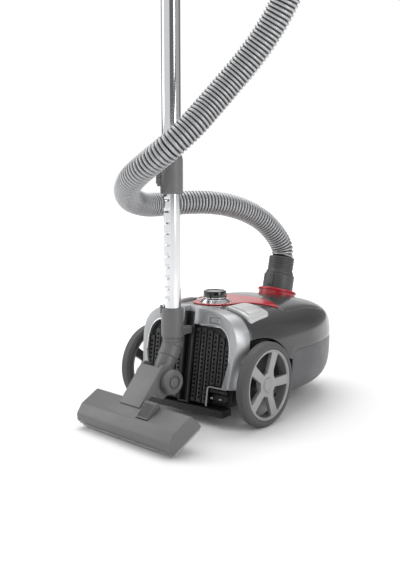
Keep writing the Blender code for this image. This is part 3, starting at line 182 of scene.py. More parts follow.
shell_lacquer = lacquered("graphite_lacquered_abs", "#2b2b2c", "#343435", 0.33, 0.5, 0.25)
bumper_abs = lacquered("satin_grey_abs", "#48484b", "#525255", 0.42, 0.1, 0.15)
silver_paint = lacquered("silver_painted_abs", "#a0a1a3", "#acadaf", 0.36, 0.2, 0.6)
pedal_paint = lacquered("pale_silver_painted_abs", "#b4b4b5", "#c6c6c7", 0.34, 0.2, 0.35)
hub_paint = lacquered("wheel_silver_paint", "#8e8e8f", "#9c9c9d", 0.34, 0.15, 0.5)
red_lacquer = lacquered("red_clear_lacquer", "#a3061c", "#b80a22", 0.3, 0.25)
knob_gloss = lacquered("piano_black_abs", "#050506", "#0a0a0b", 0.12, 0.3)
black_pp = moulded("textured_black_polypropylene", "#161617", "#202021", 0.5)
grille_abs = moulded("charcoal_moulded_abs", "#222324", "#2c2d2e", 0.46)
nozzle_abs = moulded("fine_grained_grey_abs", "#5c5c5d", "#676768", 0.42, 0.9, 0.02)
cuff_pp = moulded("dark_grey_polypropylene", "#3c3d3e", "#464748", 0.45)
print("plastics:", shell_lacquer.name, bumper_abs.name, silver_paint.name)

# %% [markdown]
# Metals keep the default index of refraction. The wand is chromed steel tube, drawn lengthwise,
# so faint lines run along it. The sole is brushed across its width.

# %% Metals, rubber, paper and the rest
def metal(name, colour, roughness, brushed=None):
    made, tree, shader = start(name, colour, roughness, 1.0)
    if brushed:
        stretch = add(tree, "ShaderNodeMapping", Vector=place(tree), Scale=brushed)
        lines = add(tree, "ShaderNodeTexNoise", Vector=stretch.outputs[0], Scale=900.0, Detail=2.0)
        gloss = add(tree, "ShaderNodeMapRange", Value=lines.outputs["Fac"], i3=roughness * 0.7,
                    i4=roughness * 1.5)
        tree.links.new(gloss.outputs[0], shader.inputs["Roughness"])
        bump = add(tree, "ShaderNodeBump", Height=lines.outputs["Fac"], Distance=0.01 * MM, Strength=0.3)
        tree.links.new(bump.outputs["Normal"], shader.inputs["Normal"])
    else:
        roughen(tree, shader, PATCH_MM, roughness * 0.8, roughness * 1.4)
    return made


chrome = metal("bright_chrome_plate", "#d2d3d5", 0.07)
drawn_chrome = metal("chromed_drawn_steel", "#c9cacc", 0.1, (1, 1, 0.02))
zinc_steel = metal("zinc_plated_steel", "#9a9c9e", 0.35, (0.05, 1, 1))
brushed_steel = metal("brushed_stainless_steel", "#a9aaab", 0.3, (0.02, 1, 1))
tyre_rubber = moulded("grey_moulded_rubber", "#464646", "#505050", 0.62, 1.2, 0.05)
foam = moulded("open_cell_foam", "#3b3b3d", "#545457", 0.95, 1.6, 0.5)
bristle_nylon = moulded("black_nylon_bristle", "#1b1b1b", "#2c2c2c", 0.6)
board_green = moulded("glass_fibre_board", "#1d5a35", "#22683d", 0.4)

paper, paper_tree, paper_shader = start("crimped_filter_paper", "#d8d0bb", 0.9)
speckle(paper_tree, paper_shader, 3.0, "#cbc2aa", "#e2dbc8", 6.0)
emboss(paper_tree, paper_shader, 1.5, 0.25)

# %% [markdown]
# The hose is silver-grey PVC drawn over a wire. Shade is painted into the grooves between its ribs:
# the colour runs to nearly black there, following an attribute that the ribs' own geometry carries.

# %% The hose's finish
hose_pvc, hose_tree, hose_shader = start("silver_grey_pvc", "#8f9091", 0.32, 0.35, Coat_Weight=0.15)
# Painted shade: the grooves between the ribs darken to nearly black, and the crests keep the PVC's
# silver-grey.
groove_shade = add(hose_tree, "ShaderNodeAttribute", {"attribute_name": "groove_shade"})
groove_shade_mix = add(hose_tree, "ShaderNodeMix", {"data_type": "RGBA"}, Factor=groove_shade.outputs["Fac"],
                i6=linear("#a6a7a9"), i7=linear("#0c0c0d"))
hose_tree.links.new(groove_shade_mix.outputs[2], hose_shader.inputs["Base Color"])
roughen(hose_tree, hose_shader, 20, 0.25, 0.4)

# %% [markdown]
# The hose's middle line is the one its CAD lengths follow, from the mouth of the collar on the
# lid, back past the wand, round in front of it and up to the handle. It is drawn as a smooth
# curve through listed points, then divided evenly, so that every rib has the same pitch.

# %% The hose's route
HOSE_ROUTE = [
    (0, 218.5, 293.6), (0, 220.7, 302.6), (-2, 217, 321), (-8, 199, 347), (-17, 165, 376),
    (-29, 124, 397), (-43, 79, 411), (-60, 33, 418), (-80, -12, 419), (-98, -58, 417),
    (-107, -107, 417), (-97, -155, 425), (-74, -196, 437), (-42, -230, 454), (-3, -254, 473),
    (40, -263, 495), (80, -255, 523), (107, -231, 556), (127, -204, 592), (149, -180, 629),
    (175, -161, 667), (201, -147, 707), (225, -138, 749), (245, -133, 794), (260, -133, 841),
    (268, -134, 890), (267, -138, 939), (250, -144, 985), (215, -151, 1019), (168, -157, 1032),
    (131.5, -157, 1020.1), (122, -157, 1017),
]
HOSE_SPLITS = (8, 16)
HOSE_R = 24 * MM
RIB_PITCH = 7.2 * MM
RIB_DEPTH = 3.0 * MM


def smooth_route(route, step):
    """Points of a Catmull-Rom curve through the route's own points."""
    points = [Vector(p) * MM for p in route]
    line = []
    for i in range(len(points) - 1):
        before, after = points[max(0, i - 1)], points[min(len(points) - 1, i + 2)]
        a, b = points[i], points[i + 1]
        for j in range(step):
            t = j / step
            line.append(0.5 * (2 * a + (b - before) * t + (2 * before - 5 * a + 4 * b - after) * t * t
                               + (3 * a - before - 3 * b + after) * t ** 3))
    return line + [points[-1]]


def run_length(line):
    return sum((b - a).length for a, b in zip(line, line[1:]))


def evenly(line, count):
    """The same line as an even number of steps."""
    total = run_length(line)
    spaced, done, i = [line[0]], 0.0, 0
    for k in range(1, count):
        goal = total * k / count
        while done + (line[i + 1] - line[i]).length < goal:
            done += (line[i + 1] - line[i]).length
            i += 1
        step = line[i + 1] - line[i]
        spaced.append(line[i] + step * ((goal - done) / step.length))
    return spaced + [line[-1]]


route_step = 16
whole_line = smooth_route(HOSE_ROUTE, route_step)
ribs = round(run_length(whole_line) / RIB_PITCH)
SLICES = 8
hose_line = evenly(whole_line, ribs * SLICES)
split_ribs = [round(run_length(whole_line[:i * route_step + 1]) / RIB_PITCH) for i in HOSE_SPLITS]
print("hose", round(run_length(hose_line), 3), "m with", ribs, "ribs, parted after ribs", split_ribs)

# %% [markdown]
# Geometry Nodes sweep a circle along the line. The circle's radius dips once in every pitch,
# which makes the ribs, and the dip is stored as the mask of the shade painted in the grooves.


# %% The ribbed hose tree
def new_tree(name, sockets):
    """An empty geometry tree with named inputs."""
    tree = bpy.data.node_groups.new(name, "GeometryNodeTree")
    tree.interface.new_socket("Geometry", in_out="INPUT", socket_type="NodeSocketGeometry")
    for label, kind in sockets:
        tree.interface.new_socket(label, in_out="INPUT", socket_type=kind)
    tree.interface.new_socket("Geometry", in_out="OUTPUT", socket_type="NodeSocketGeometry")
    return tree, tree.nodes.new("NodeGroupInput").outputs


def close_tree(tree, geometry, material):
    """Ends a tree in Realize Instances and Set Material."""
    real = add(tree, "GeometryNodeRealizeInstances", Geometry=geometry)
    painted = add(tree, "GeometryNodeSetMaterial", Geometry=real.outputs[0], Material=material)
    out = tree.nodes.new("NodeGroupOutput")
    tree.links.new(painted.outputs[0], out.inputs[0])


def made_by(tree, holder, **values):
    """Runs a tree on an object and gives the plain mesh that it makes."""
    modifier = holder.modifiers.new("tree", "NODES")
    modifier.node_group = tree
    sockets = {item.name: item.identifier for item in tree.interface.items_tree if item.in_out == "INPUT"}
    for label, value in values.items():
        modifier[sockets[label.replace("_", " ")]] = value
    bpy.context.view_layer.update()
    graph = bpy.context.evaluated_depsgraph_get()
    mesh = bpy.data.meshes.new_from_object(holder.evaluated_get(graph), depsgraph=graph)
    holder.modifiers.remove(modifier)
    bpy.data.objects.remove(holder, do_unlink=True)
    return mesh


rib_tree, given = new_tree("ribbed_hose", [("Radius", "NodeSocketFloat"), ("Rib pitch", "NodeSocketFloat"),
                                           ("Groove depth", "NodeSocketFloat"),
                                           ("Around", "NodeSocketInt")])
along_hose = add(rib_tree, "GeometryNodeSplineParameter").outputs["Length"]
turns = add(rib_tree, "ShaderNodeMath", {"operation": "DIVIDE"}, i0=along_hose, i1=given["Rib pitch"])
angle = add(rib_tree, "ShaderNodeMath", {"operation": "MULTIPLY"}, i0=turns.outputs[0], i1=math.tau)
wave = add(rib_tree, "ShaderNodeMath", {"operation": "COSINE"}, i0=angle.outputs[0])
rise = add(rib_tree, "ShaderNodeMath", {"operation": "MULTIPLY_ADD"}, i0=wave.outputs[0], i1=0.5, i2=0.5)
dip = add(rib_tree, "ShaderNodeMath", {"operation": "POWER"}, i0=rise.outputs[0], i1=2.4)
loss = add(rib_tree, "ShaderNodeMath", {"operation": "MULTIPLY"}, i0=dip.outputs[0],
           i1=given["Groove depth"])
rib_radius = add(rib_tree, "ShaderNodeMath", {"operation": "SUBTRACT"}, i0=given["Radius"],
                 i1=loss.outputs[0])
# The dip is also stored as the mask of the shade painted in the grooves.
noted = add(rib_tree, "GeometryNodeStoreNamedAttribute", {"data_type": "FLOAT", "domain": "POINT"},
            Geometry=given["Geometry"], Name="groove_shade", Value=dip.outputs[0])
swept_radius = add(rib_tree, "GeometryNodeSetCurveRadius", Curve=noted.outputs[0],
                   Radius=rib_radius.outputs[0])
ring = add(rib_tree, "GeometryNodeCurvePrimitiveCircle", Resolution=given["Around"], Radius=1.0)
swept = add(rib_tree, "GeometryNodeCurveToMesh", Curve=swept_radius.outputs[0],
            i1=ring.outputs["Curve"])
swept.inputs["Fill Caps"].default_value = True
if "Scale" in swept.inputs:
    rib_tree.links.new(rib_radius.outputs[0], swept.inputs["Scale"])
close_tree(rib_tree, swept.outputs[0], hose_pvc)
print("hose tree has", len(rib_tree.nodes), "nodes")

# %% [markdown]
# A finished piece is an object at the origin with its place in its mesh, smooth where it
# curves and sharp where it turns. It says which body it rides on and which CAD nodes it
# stands for.

# %% Helpers for pieces
SHARP = math.radians(38)


def faced_outwards(mesh):
    """Turns a closed mesh's faces outwards."""
    work = bmesh.new()
    work.from_mesh(mesh)
    if work.calc_volume(signed=True) < 0:
        mesh.flip_normals()
    work.free()
    return mesh


def new_object(name, mesh):
    obj = bpy.data.objects.new(name, mesh)
    bpy.context.scene.collection.objects.link(obj)
    return obj


def as_piece(obj, material, body, replaces=(), sharp=SHARP):
    """Gives an object its finish, its body and the CAD nodes that it stands for."""
    if not obj.data.materials:
        obj.data.materials.append(material)
    faced_outwards(obj.data)
    obj.data.shade_smooth()
    obj.data.set_sharp_from_angle(angle=sharp)
    if body:
        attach(obj, body)
    if replaces:
        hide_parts(*replaces)
    return obj


def baked(obj):
    """Applies an object's modifiers and its place to its mesh."""
    bpy.context.view_layer.update()
    graph = bpy.context.evaluated_depsgraph_get()
    mesh = bpy.data.meshes.new_from_object(obj.evaluated_get(graph), depsgraph=graph)
    mesh.transform(obj.matrix_world)
    if obj.matrix_world.determinant() < 0:
        mesh.flip_normals()
    obj.modifiers.clear()
    name = obj.name
    if obj.type == "MESH":
        obj.data = mesh
        obj.matrix_world = Matrix.Identity(4)
        return obj
    bpy.data.objects.remove(obj, do_unlink=True)
    return new_object(name, mesh)


def combined(obj, others, operation="DIFFERENCE"):
    """Booleans with the others, which are used up."""
    for other in others:
        modifier = obj.modifiers.new("boolean", "BOOLEAN")
        modifier.operation = operation
        modifier.solver = "EXACT"
        modifier.object = other
    baked(obj)
    for other in others:
        bpy.data.objects.remove(other, do_unlink=True)
    return obj


def eased(obj, width, segments=3, angle=35):
    """Rounds an object's sharp edges."""
    modifier = obj.modifiers.new("eased edges", "BEVEL")
    modifier.width = width
    modifier.segments = segments
    modifier.limit_method = "ANGLE"
    modifier.angle_limit = math.radians(angle)
    modifier.use_clamp_overlap = True
    return baked(obj)


def spread(count):
    return [i / (count - 1) for i in range(count)]


def along(direction, at):
    """A frame at a point whose Z runs along a direction."""
    turn = Vector((0, 0, 1)).rotation_difference(Vector(direction).normalized())
    return Matrix.Translation(at) @ turn.to_matrix().to_4x4()


def filleted(points, radius, closed=True, count=5):
    """A 2D line with its corners rounded; a point may carry its own radius."""
    flat = [Vector(p[:2]) for p in points]
    radii = [p[2] if len(p) > 2 else radius for p in points]
    line = []
    for i, corner in enumerate(flat):
        if not closed and i in (0, len(flat) - 1):
            line.append(corner)
            continue
        before, after = flat[i - 1] - corner, flat[(i + 1) % len(flat)] - corner
        half = before.angle(after, math.pi) / 2
        if half > math.radians(88) or radii[i] <= 0:
            line.append(corner)
            continue
        reach = min(radii[i] / math.tan(half), before.length * 0.49, after.length * 0.49)
        a, b = corner + before.normalized() * reach, corner + after.normalized() * reach
        for t in spread(count):
            line.append((a * (1 - t) + corner * t) * (1 - t) + (corner * (1 - t) + b * t) * t)
    return line


def lathed(name, profile, at, radius=0.6 * MM, steps=96, ring=True, count=4):
    """A solid turned about its frame's Z from (radius, height) corners, which are rounded."""
    line = filleted(profile, radius, ring, count)
    work = bmesh.new()
    rings = []
    for r, z in line:
        if r < 1e-6:
            rings.append([work.verts.new((0, 0, z))])
        else:
            rings.append([work.verts.new((r * math.cos(math.tau * k / steps),
                                          r * math.sin(math.tau * k / steps), z))
                          for k in range(steps)])
    pairs = list(zip(rings, rings[1:])) + ([(rings[-1], rings[0])] if ring else [])
    for low, high in pairs:
        for k in range(steps):
            j = (k + 1) % steps
            corners = [low[k % len(low)], low[j % len(low)], high[j % len(high)], high[k % len(high)]]
            corners = [v for n, v in enumerate(corners) if v not in corners[:n]]
            if len(corners) > 2:
                work.faces.new(corners)
    bmesh.ops.recalc_face_normals(work, faces=work.faces)
    mesh = bpy.data.meshes.new(name)
    work.to_mesh(mesh)
    work.free()
    mesh.transform(at)
    return new_object(name, faced_outwards(mesh))


def plate(name, loops, low, high, at, ease=0.0, resolution=3):
    """A flat outline with holes, from one height to another, with rounded rims."""
    curve = bpy.data.curves.new(name, "CURVE")
    curve.dimensions = "2D"
    curve.fill_mode = "BOTH"
    curve.extrude = (high - low) / 2 - ease
    curve.bevel_depth = ease
    curve.offset = -ease
    curve.bevel_resolution = resolution
    for loop in loops:
        spline = curve.splines.new("POLY")
        spline.points.add(len(loop) - 1)
        for point, spot in zip(spline.points, loop):
            point.co = (spot[0], spot[1], 0, 1)
        spline.use_cyclic_u = True
    obj = new_object(name + "_outline", curve)
    obj.matrix_world = at @ Matrix.Translation((0, 0, (low + high) / 2))
    flat = baked(obj)
    flat.name = name
    work = bmesh.new()
    work.from_mesh(flat.data)
    bmesh.ops.remove_doubles(work, verts=work.verts, dist=0.005 * MM)
    bmesh.ops.recalc_face_normals(work, faces=work.faces)
    work.to_mesh(flat.data)
    work.free()
    faced_outwards(flat.data)
    return flat


def rectangle(left, low, right, high):
    return [(left, low), (right, low), (right, high), (left, high)]


def block(name, low, high, at=None, ease=0.0, segments=3):
    """A box between two corners with rounded edges."""
    work = bmesh.new()
    bmesh.ops.create_cube(work, size=1)
    low, high = Vector(low), Vector(high)
    bmesh.ops.scale(work, vec=high - low, verts=work.verts)
    bmesh.ops.translate(work, vec=(low + high) / 2, verts=work.verts)
    mesh = bpy.data.meshes.new(name)
    work.to_mesh(mesh)
    work.free()
    obj = new_object(name, mesh)
    if ease:
        eased(obj, ease, segments)
    obj.data.transform(at or Matrix.Identity(4))
    return obj


def swept_tube(name, points, radii, around=64):
    """A closed round tube along points, with its own radius at each."""
    work = bmesh.new()
    rings = []
    side = None
    for i, point in enumerate(points):
        heading = (points[min(i + 1, len(points) - 1)] - points[max(i - 1, 0)]).normalized()
        side = (side - heading * side.dot(heading) if side else heading.orthogonal()).normalized()
        up = heading.cross(side)
        rings.append([work.verts.new(point + (side * math.cos(math.tau * k / around)
                                              + up * math.sin(math.tau * k / around)) * radii[i])
                      for k in range(around)])
    for low, high in zip(rings, rings[1:]):
        for k in range(around):
            j = (k + 1) % around
            work.faces.new((low[k], low[j], high[j], high[k]))
    work.faces.new(rings[0])
    work.faces.new(rings[-1])
    bmesh.ops.recalc_face_normals(work, faces=work.faces)
    mesh = bpy.data.meshes.new(name)
    work.to_mesh(mesh)
    work.free()
    return new_object(name, mesh)


def middle(node):
    low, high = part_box(node)
    return (Vector(low) + Vector(high)) / 2


# %% [markdown]
# One hose, three lengths: on the real cleaner the first bends as the lid opens, the second as the
# wand lifts off its hook, and the third as the wand is drawn out. They meet in a groove, where no seam
# shows.

# %% Hose
limits = [0, *[n * SLICES for n in split_ribs], ribs * SLICES]
for part, (first, last) in enumerate(zip(limits, limits[1:])):
    stretch = hose_line[first:last + 1]
    curve = bpy.data.curves.new("hose_run", "CURVE")
    curve.dimensions = "3D"
    spline = curve.splines.new("POLY")
    spline.points.add(len(stretch) - 1)
    for point, spot in zip(spline.points, stretch):
        point.co = (*spot, 1)
    pitch = run_length(stretch) / ((last - first) / SLICES)
    mesh = made_by(rib_tree, new_object("hose_run", curve), Radius=HOSE_R, Rib_pitch=pitch,
                   Groove_depth=RIB_DEPTH, Around=40)
    letter = "abc"[part]
    hose = as_piece(new_object("hose_ribs_" + letter, mesh), hose_pvc, None,
                    ["hose_" + letter], math.radians(80))
    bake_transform(hose)
    print(hose.name, round(run_length(stretch), 3), "m,", len(mesh.polygons), "faces")

# %% [markdown]
# The body is one streamlined form: superelliptic sections that swell to their widest ahead of
# the wheels and close in a round nose. The shell, the bumper, the lid, the red plate and the
# pedals are all cut from that form or a slightly larger one, so their surfaces run together.

# %% The body's form
BODY_HALF_W = 148 * MM
BODY_WIDEST_Y = 92 * MM
NOSE_LENGTH = 230 * MM
TAIL_LENGTH = 255 * MM
BELT_Z = 131 * MM
TOP_Z = 222 * MM
BOTTOM_Z = 20 * MM
WALL = 2.6 * MM
UPPER_CURVE = 3.2
LOWER_CURVE = 3.6
REAR_Y = -133 * MM
REAR_LEAN = math.radians(8.4)


def half_width(y):
    if y > BODY_WIDEST_Y:
        return BODY_HALF_W * math.sqrt(max(0, 1 - ((y - BODY_WIDEST_Y) / NOSE_LENGTH) ** 2))
    return BODY_HALF_W * (1 - ((BODY_WIDEST_Y - y) / TAIL_LENGTH) ** 3) ** (1 / 3)


def top(y):
    if y > BODY_WIDEST_Y:
        return BELT_Z + (TOP_Z - BELT_Z) * math.sqrt(max(0, 1 - ((y - BODY_WIDEST_Y) / NOSE_LENGTH) ** 2))
    return TOP_Z


def bottom(y):
    lift_from = BODY_WIDEST_Y + NOSE_LENGTH * 0.35
    if y < lift_from:
        return BOTTOM_Z
    reach = (y - lift_from) / (BODY_WIDEST_Y + NOSE_LENGTH - lift_from)
    return BELT_Z - (BELT_Z - BOTTOM_Z) * (1 - min(1, reach) ** 3) ** (1 / 3)


def surface_z(x, y):
    share = min(1, abs(x) / half_width(y))
    return BELT_Z + (top(y) - BELT_Z) * (1 - share ** UPPER_CURVE) ** (1 / UPPER_CURVE)


def form(name, inset, rear_y, around=112):
    """The body as a closed loft, offset inwards, from a rear plane to the tip of its nose."""
    reach = NOSE_LENGTH - inset
    stations = [rear_y + (BODY_WIDEST_Y - rear_y) * t for t in spread(18)[:-1]]
    nose_angles = [86 * (1 - (1 - t) ** 1.25) for t in spread(30)]
    stations += [BODY_WIDEST_Y + reach * math.sin(math.radians(a)) for a in nose_angles]
    work = bmesh.new()
    rings = []
    for y in stations:
        shape_y = y if y < BODY_WIDEST_Y else BODY_WIDEST_Y + (y - BODY_WIDEST_Y) * NOSE_LENGTH / reach
        width = half_width(shape_y) - inset
        ring = []
        if y > BODY_WIDEST_Y:
            width = half_width(shape_y) * (BODY_HALF_W - inset) / BODY_HALF_W
        for i in range(around):
            c, s = math.cos(math.tau * (i + 0.5) / around), math.sin(math.tau * (i + 0.5) / around)
            full = (TOP_Z if s >= 0 else BOTTOM_Z) - BELT_Z
            rise = abs((top(shape_y) if s >= 0 else bottom(shape_y)) - BELT_Z)
            rise *= (abs(full) - inset) / abs(full)
            power = 2 / (UPPER_CURVE if s >= 0 else LOWER_CURVE)
            ring.append(work.verts.new((width * math.copysign(abs(c) ** power, c), y,
                                        BELT_Z + rise * math.copysign(abs(s) ** power, s))))
        rings.append(ring)
    for near, far in zip(rings, rings[1:]):
        for i in range(around):
            j = (i + 1) % around
            work.faces.new((near[i], far[i], far[j], near[j]))
    tip = work.verts.new((0, BODY_WIDEST_Y + reach, BELT_Z))
    for i in range(around):
        work.faces.new((rings[-1][i], tip, rings[-1][(i + 1) % around]))
    work.faces.new(rings[0])
    bmesh.ops.recalc_face_normals(work, faces=work.faces)
    mesh = bpy.data.meshes.new(name)
    work.to_mesh(mesh)
    work.free()
    return new_object(name, mesh)


def hollow_form(name):
    return combined(form(name, 0, REAR_Y + 10 * MM), [form("hollow", WALL, REAR_Y - 30 * MM)])


ACROSS = Matrix(((0, 0, 1, 0), (1, 0, 0, 0), (0, 1, 0, 0), (0, 0, 0, 1)))


def side_prism(name, loop):
    return plate(name, [loop], -0.2, 0.2, ACROSS)


def plan_prism(name, loop, low=0.14, high=0.3):
    return plate(name, [loop], low, high, Matrix.Identity(4))


def rear_frame():
    """The leaning rear face: X across, Y up along the face, Z out towards the back."""
    up = Vector((0, math.sin(REAR_LEAN), math.cos(REAR_LEAN)))
    out = Vector((0, -math.cos(REAR_LEAN), math.sin(REAR_LEAN)))
    turned = Matrix((Vector((1, 0, 0)), up, out)).transposed().to_4x4()
    return Matrix.Translation((0, REAR_Y, BOTTOM_Z)) @ turned


REAR = rear_frame()
print("body", round(2 * BODY_HALF_W / MM), "mm wide,", round((TOP_Z - BOTTOM_Z) / MM), "mm deep")

# %% [markdown]
# The seam between shell and bumper arches over the wheel, drops, and runs along the belt. The
# lid's rear edge bows forwards round the red plate. Each opening is a little wider than the
# piece in it, and every cut edge is eased, as a moulding's is.

# %% Outlines
AXLE = middle("tyre_right")
TYRE_R = AXLE.z
ARCH_R = TYRE_R + 6 * MM
NOSE_Y = BODY_WIDEST_Y + NOSE_LENGTH
SEAM_Y = AXLE.y + ARCH_R + 6 * MM
SEAM_ROUND = 16 * MM
LID_REAR_Y = 47 * MM
LID_FRONT_Y = 272 * MM
LID_HALF_W = 117 * MM
LID_BOW = 32 * MM
KNOB = middle("suction_knob")
SKIRT_R = 31 * MM


def arc(centre, radius, first, last, count):
    turns = [math.radians(first + (last - first) * t) for t in spread(count)]
    return [(centre[0] + radius * math.cos(turn), centre[1] + radius * math.sin(turn)) for turn in turns]


def below_seam():
    belt = BELT_Z + 0.1 * MM
    line = arc((AXLE.y, TYRE_R), ARCH_R, 140, 24, 40)
    line += arc((SEAM_Y + SEAM_ROUND, belt - SEAM_ROUND), SEAM_ROUND, 180, 90, 12)
    far, rear = NOSE_Y + 20 * MM, REAR_Y - 20 * MM
    return [(rear, line[0][1])] + line + [(far, belt), (far, 0), (rear, 0)]


def bumper_side():
    gap = 0.4 * MM
    front = NOSE_Y + 20 * MM
    low = BOTTOM_Z + 8 * MM
    corner = arc((SEAM_Y + SEAM_ROUND + gap, BELT_Z - SEAM_ROUND - gap), SEAM_ROUND, 180, 90, 12)
    return corner + [(front, BELT_Z - gap), (front, low), (SEAM_Y + gap, low)]


def lid_plan(gap):
    widest = LID_REAR_Y + 100 * MM
    front = LID_FRONT_Y + gap
    half = LID_HALF_W + gap
    points = [(-half + 2 * half * t,
               LID_REAR_Y - gap + LID_BOW * (1 - (2 * t - 1) ** 2)) for t in spread(33)]
    side = []
    for t in spread(25)[1:-1]:
        y = widest + (front - widest) * math.sin(t * math.pi / 2)
        side.append((half * (1 - ((y - widest) / (front - widest)) ** 2.6) ** (1 / 2.6), y))
    return points + side + [(0, front)] + [(-x, y) for x, y in reversed(side)]


def trim_plan():
    half = LID_HALF_W - 10 * MM
    edge = [(half - 2 * half * t,
             LID_REAR_Y - 5 * MM + LID_BOW * (1 - ((half - 2 * half * t) / LID_HALF_W) ** 2))
            for t in spread(33)]
    round_knob = arc((0, KNOB.y), SKIRT_R + 13 * MM, 205, 335, 30)
    neck = SKIRT_R + 22 * MM
    return filleted(edge + [(-neck, LID_REAR_Y - 42 * MM, 20 * MM)] + round_knob
                    + [(neck, LID_REAR_Y - 42 * MM, 20 * MM)], 2 * MM)


def pedal_plan(side, gap):
    low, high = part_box("power_pedal")
    loop = filleted([(high[0] + gap, low[1] - gap), (high[0] + gap, high[1] + gap),
                     (low[0] - gap, high[1] + gap), (low[0] - gap, low[1] - gap)], 9 * MM, count=8)
    return [(side * p[0], p[1]) for p in loop]


print("wheel arch radius", round(ARCH_R / MM, 1), "mm")

# %% Shell, bumper and lid
INLET = Vector((0, 199, 213.5)) * MM
INLET_LEAN = math.radians(17)
CUFF_LEAN = math.radians(13.7)
EDGE = 0.7 * MM
inlet_frame = along((0, math.sin(INLET_LEAN), math.cos(INLET_LEAN)), INLET)
cuff_frame = along((0, math.sin(CUFF_LEAN), math.cos(CUFF_LEAN)), INLET)
BEZEL_DEPTH = 28 * MM


def behind(depth):
    return block("behind", (-0.3, -0.1, -depth), (0.3, 0.3, 0.2), REAR)


def upright(radius, at, low, high, steps=96):
    return lathed("upright", [(radius, high), (radius, low), (0, low), (0, high)], Matrix.Translation(at),
                  0, steps)


skin = hollow_form("upper_shell_skin")
combined(skin, [side_prism("below_seam", below_seam()), behind(BEZEL_DEPTH + 0.4 * MM),
                plan_prism("lid_opening", lid_plan(0.9 * MM)),
                plan_prism("pedal_opening_right", pedal_plan(1, 0.9 * MM)),
                plan_prism("pedal_opening_left", pedal_plan(-1, 0.9 * MM)),
                upright(10 * MM, (0, KNOB.y, 0), 0.15, 0.3)])
as_piece(eased(skin, EDGE, 2), shell_lacquer, "canister", ["upper_shell"])

bumper = combined(hollow_form("bumper_skin"), [side_prism("bumper_extent", bumper_side())], "INTERSECT")
caster_at = middle("caster_fork")
combined(bumper, [upright(37 * MM, (0, caster_at.y, 0), 0, 0.06)])
as_piece(eased(bumper, EDGE, 2), bumper_abs, "canister", ["front_bumper"])

lid = combined(hollow_form("lid_skin"), [plan_prism("lid_extent", lid_plan(0))], "INTERSECT")
inlet_hole = lathed("inlet_hole", [(40.8 * MM, 0.06), (40.8 * MM, -0.06), (0, -0.06), (0, 0.06)],
                    inlet_frame, 0)
combined(lid, [inlet_hole])
as_piece(eased(lid, EDGE, 2), shell_lacquer, "lid", ["dust_lid"])
print("shell, bumper and lid:", len(skin.data.polygons), len(bumper.data.polygons), len(lid.data.polygons))

# %% [markdown]
# The red plate is a thin lacquered moulding laid on the shell round the suction knob. The two
# pedals are thick painted caps that stand proud of the shell, crowned like it.

# %% Red plate and pedals
trim = combined(form("red_plate", -1.8 * MM, REAR_Y + 30 * MM), [plan_prism("plate_extent", trim_plan())],
                "INTERSECT")
combined(trim, [form("plate_bed", -0.3 * MM, REAR_Y),
                upright(SKIRT_R + 0.5 * MM, (0, KNOB.y, 0), 0.15, 0.3)])
as_piece(eased(trim, 0.5 * MM, 2), red_lacquer, "canister", ["top_trim"])

for side, key, node in ((1, "power_key", "power_pedal"), (-1, "rewind_key", "rewind_pedal")):
    cap = combined(form(node + "_cap", -4 * MM, REAR_Y + 30 * MM),
                   [plan_prism("cap_extent", pedal_plan(side, 0), 0.196, 0.3)], "INTERSECT")
    as_piece(eased(cap, 3.2 * MM, 5), pedal_paint, key, [node])
    pad_line = [(side * (p[0] - 89.5 * MM) * 0.78 + side * 86 * MM, (p[1] + 36 * MM) * 0.66 - 36 * MM)
                for p in [(abs(x), y) for x, y in pedal_plan(side, 0)]]
    pad = combined(form(node + "_pad", -5.6 * MM, REAR_Y + 30 * MM),
                   [plan_prism("pad_extent", pad_line, 0.199, 0.3)],
                   "INTERSECT")
    as_piece(eased(pad, 1.2 * MM, 3), pedal_paint, key)
print("pedals stand 4 mm proud")

# %% [markdown]
# The knob is gloss black with a dished top, on a chrome skirt. White dots on the red plate
# grow from small to large round it, so Geometry Nodes set them out: points on an arc, each
# with a disc scaled by its place in the row.

# %% Knob
knob_base = TOP_Z + 0.3 * MM
knob_frame = Matrix.Translation((0, KNOB.y, knob_base))
skirt = lathed("knob_skirt_ring", [mm(23, 8.5), mm(26, 7.5, 2), (SKIRT_R, 1 * MM),
                                   (SKIRT_R, 0), mm(8, 0), mm(8, 8.5)], knob_frame)
as_piece(skirt, chrome, "canister", ["knob_skirt"])
cap_low, cap_high = 8.8 * MM, 23.8 * MM
knob = lathed("knob_cap",
              [(0, cap_high - 1.8 * MM), (18.5 * MM, cap_high - 1.8 * MM, 2 * MM),
               (21 * MM, cap_high, 1 * MM),
               (23 * MM, cap_high - 1 * MM, 1.5 * MM), (24 * MM, cap_low, 1 * MM),
               (5 * MM, cap_low),
               mm(5, -12), mm(0, -12)], knob_frame, ring=False)
combined(knob, [block("pointer_groove", (-1 * MM, 12 * MM, cap_high - 2.6 * MM),
                      (1 * MM, 30 * MM, cap_high + 2 * MM),
                      knob_frame)])
as_piece(knob, knob_gloss, "knob", ["suction_knob"])
band = lathed("knob_band",
              [(24.3 * MM, cap_low + 2.2 * MM), (24.3 * MM, cap_low + 0.4 * MM),
               (23.7 * MM, cap_low + 0.4 * MM),
               (23.7 * MM, cap_low + 2.2 * MM)], knob_frame, 0.2 * MM)
as_piece(band, chrome, "knob")

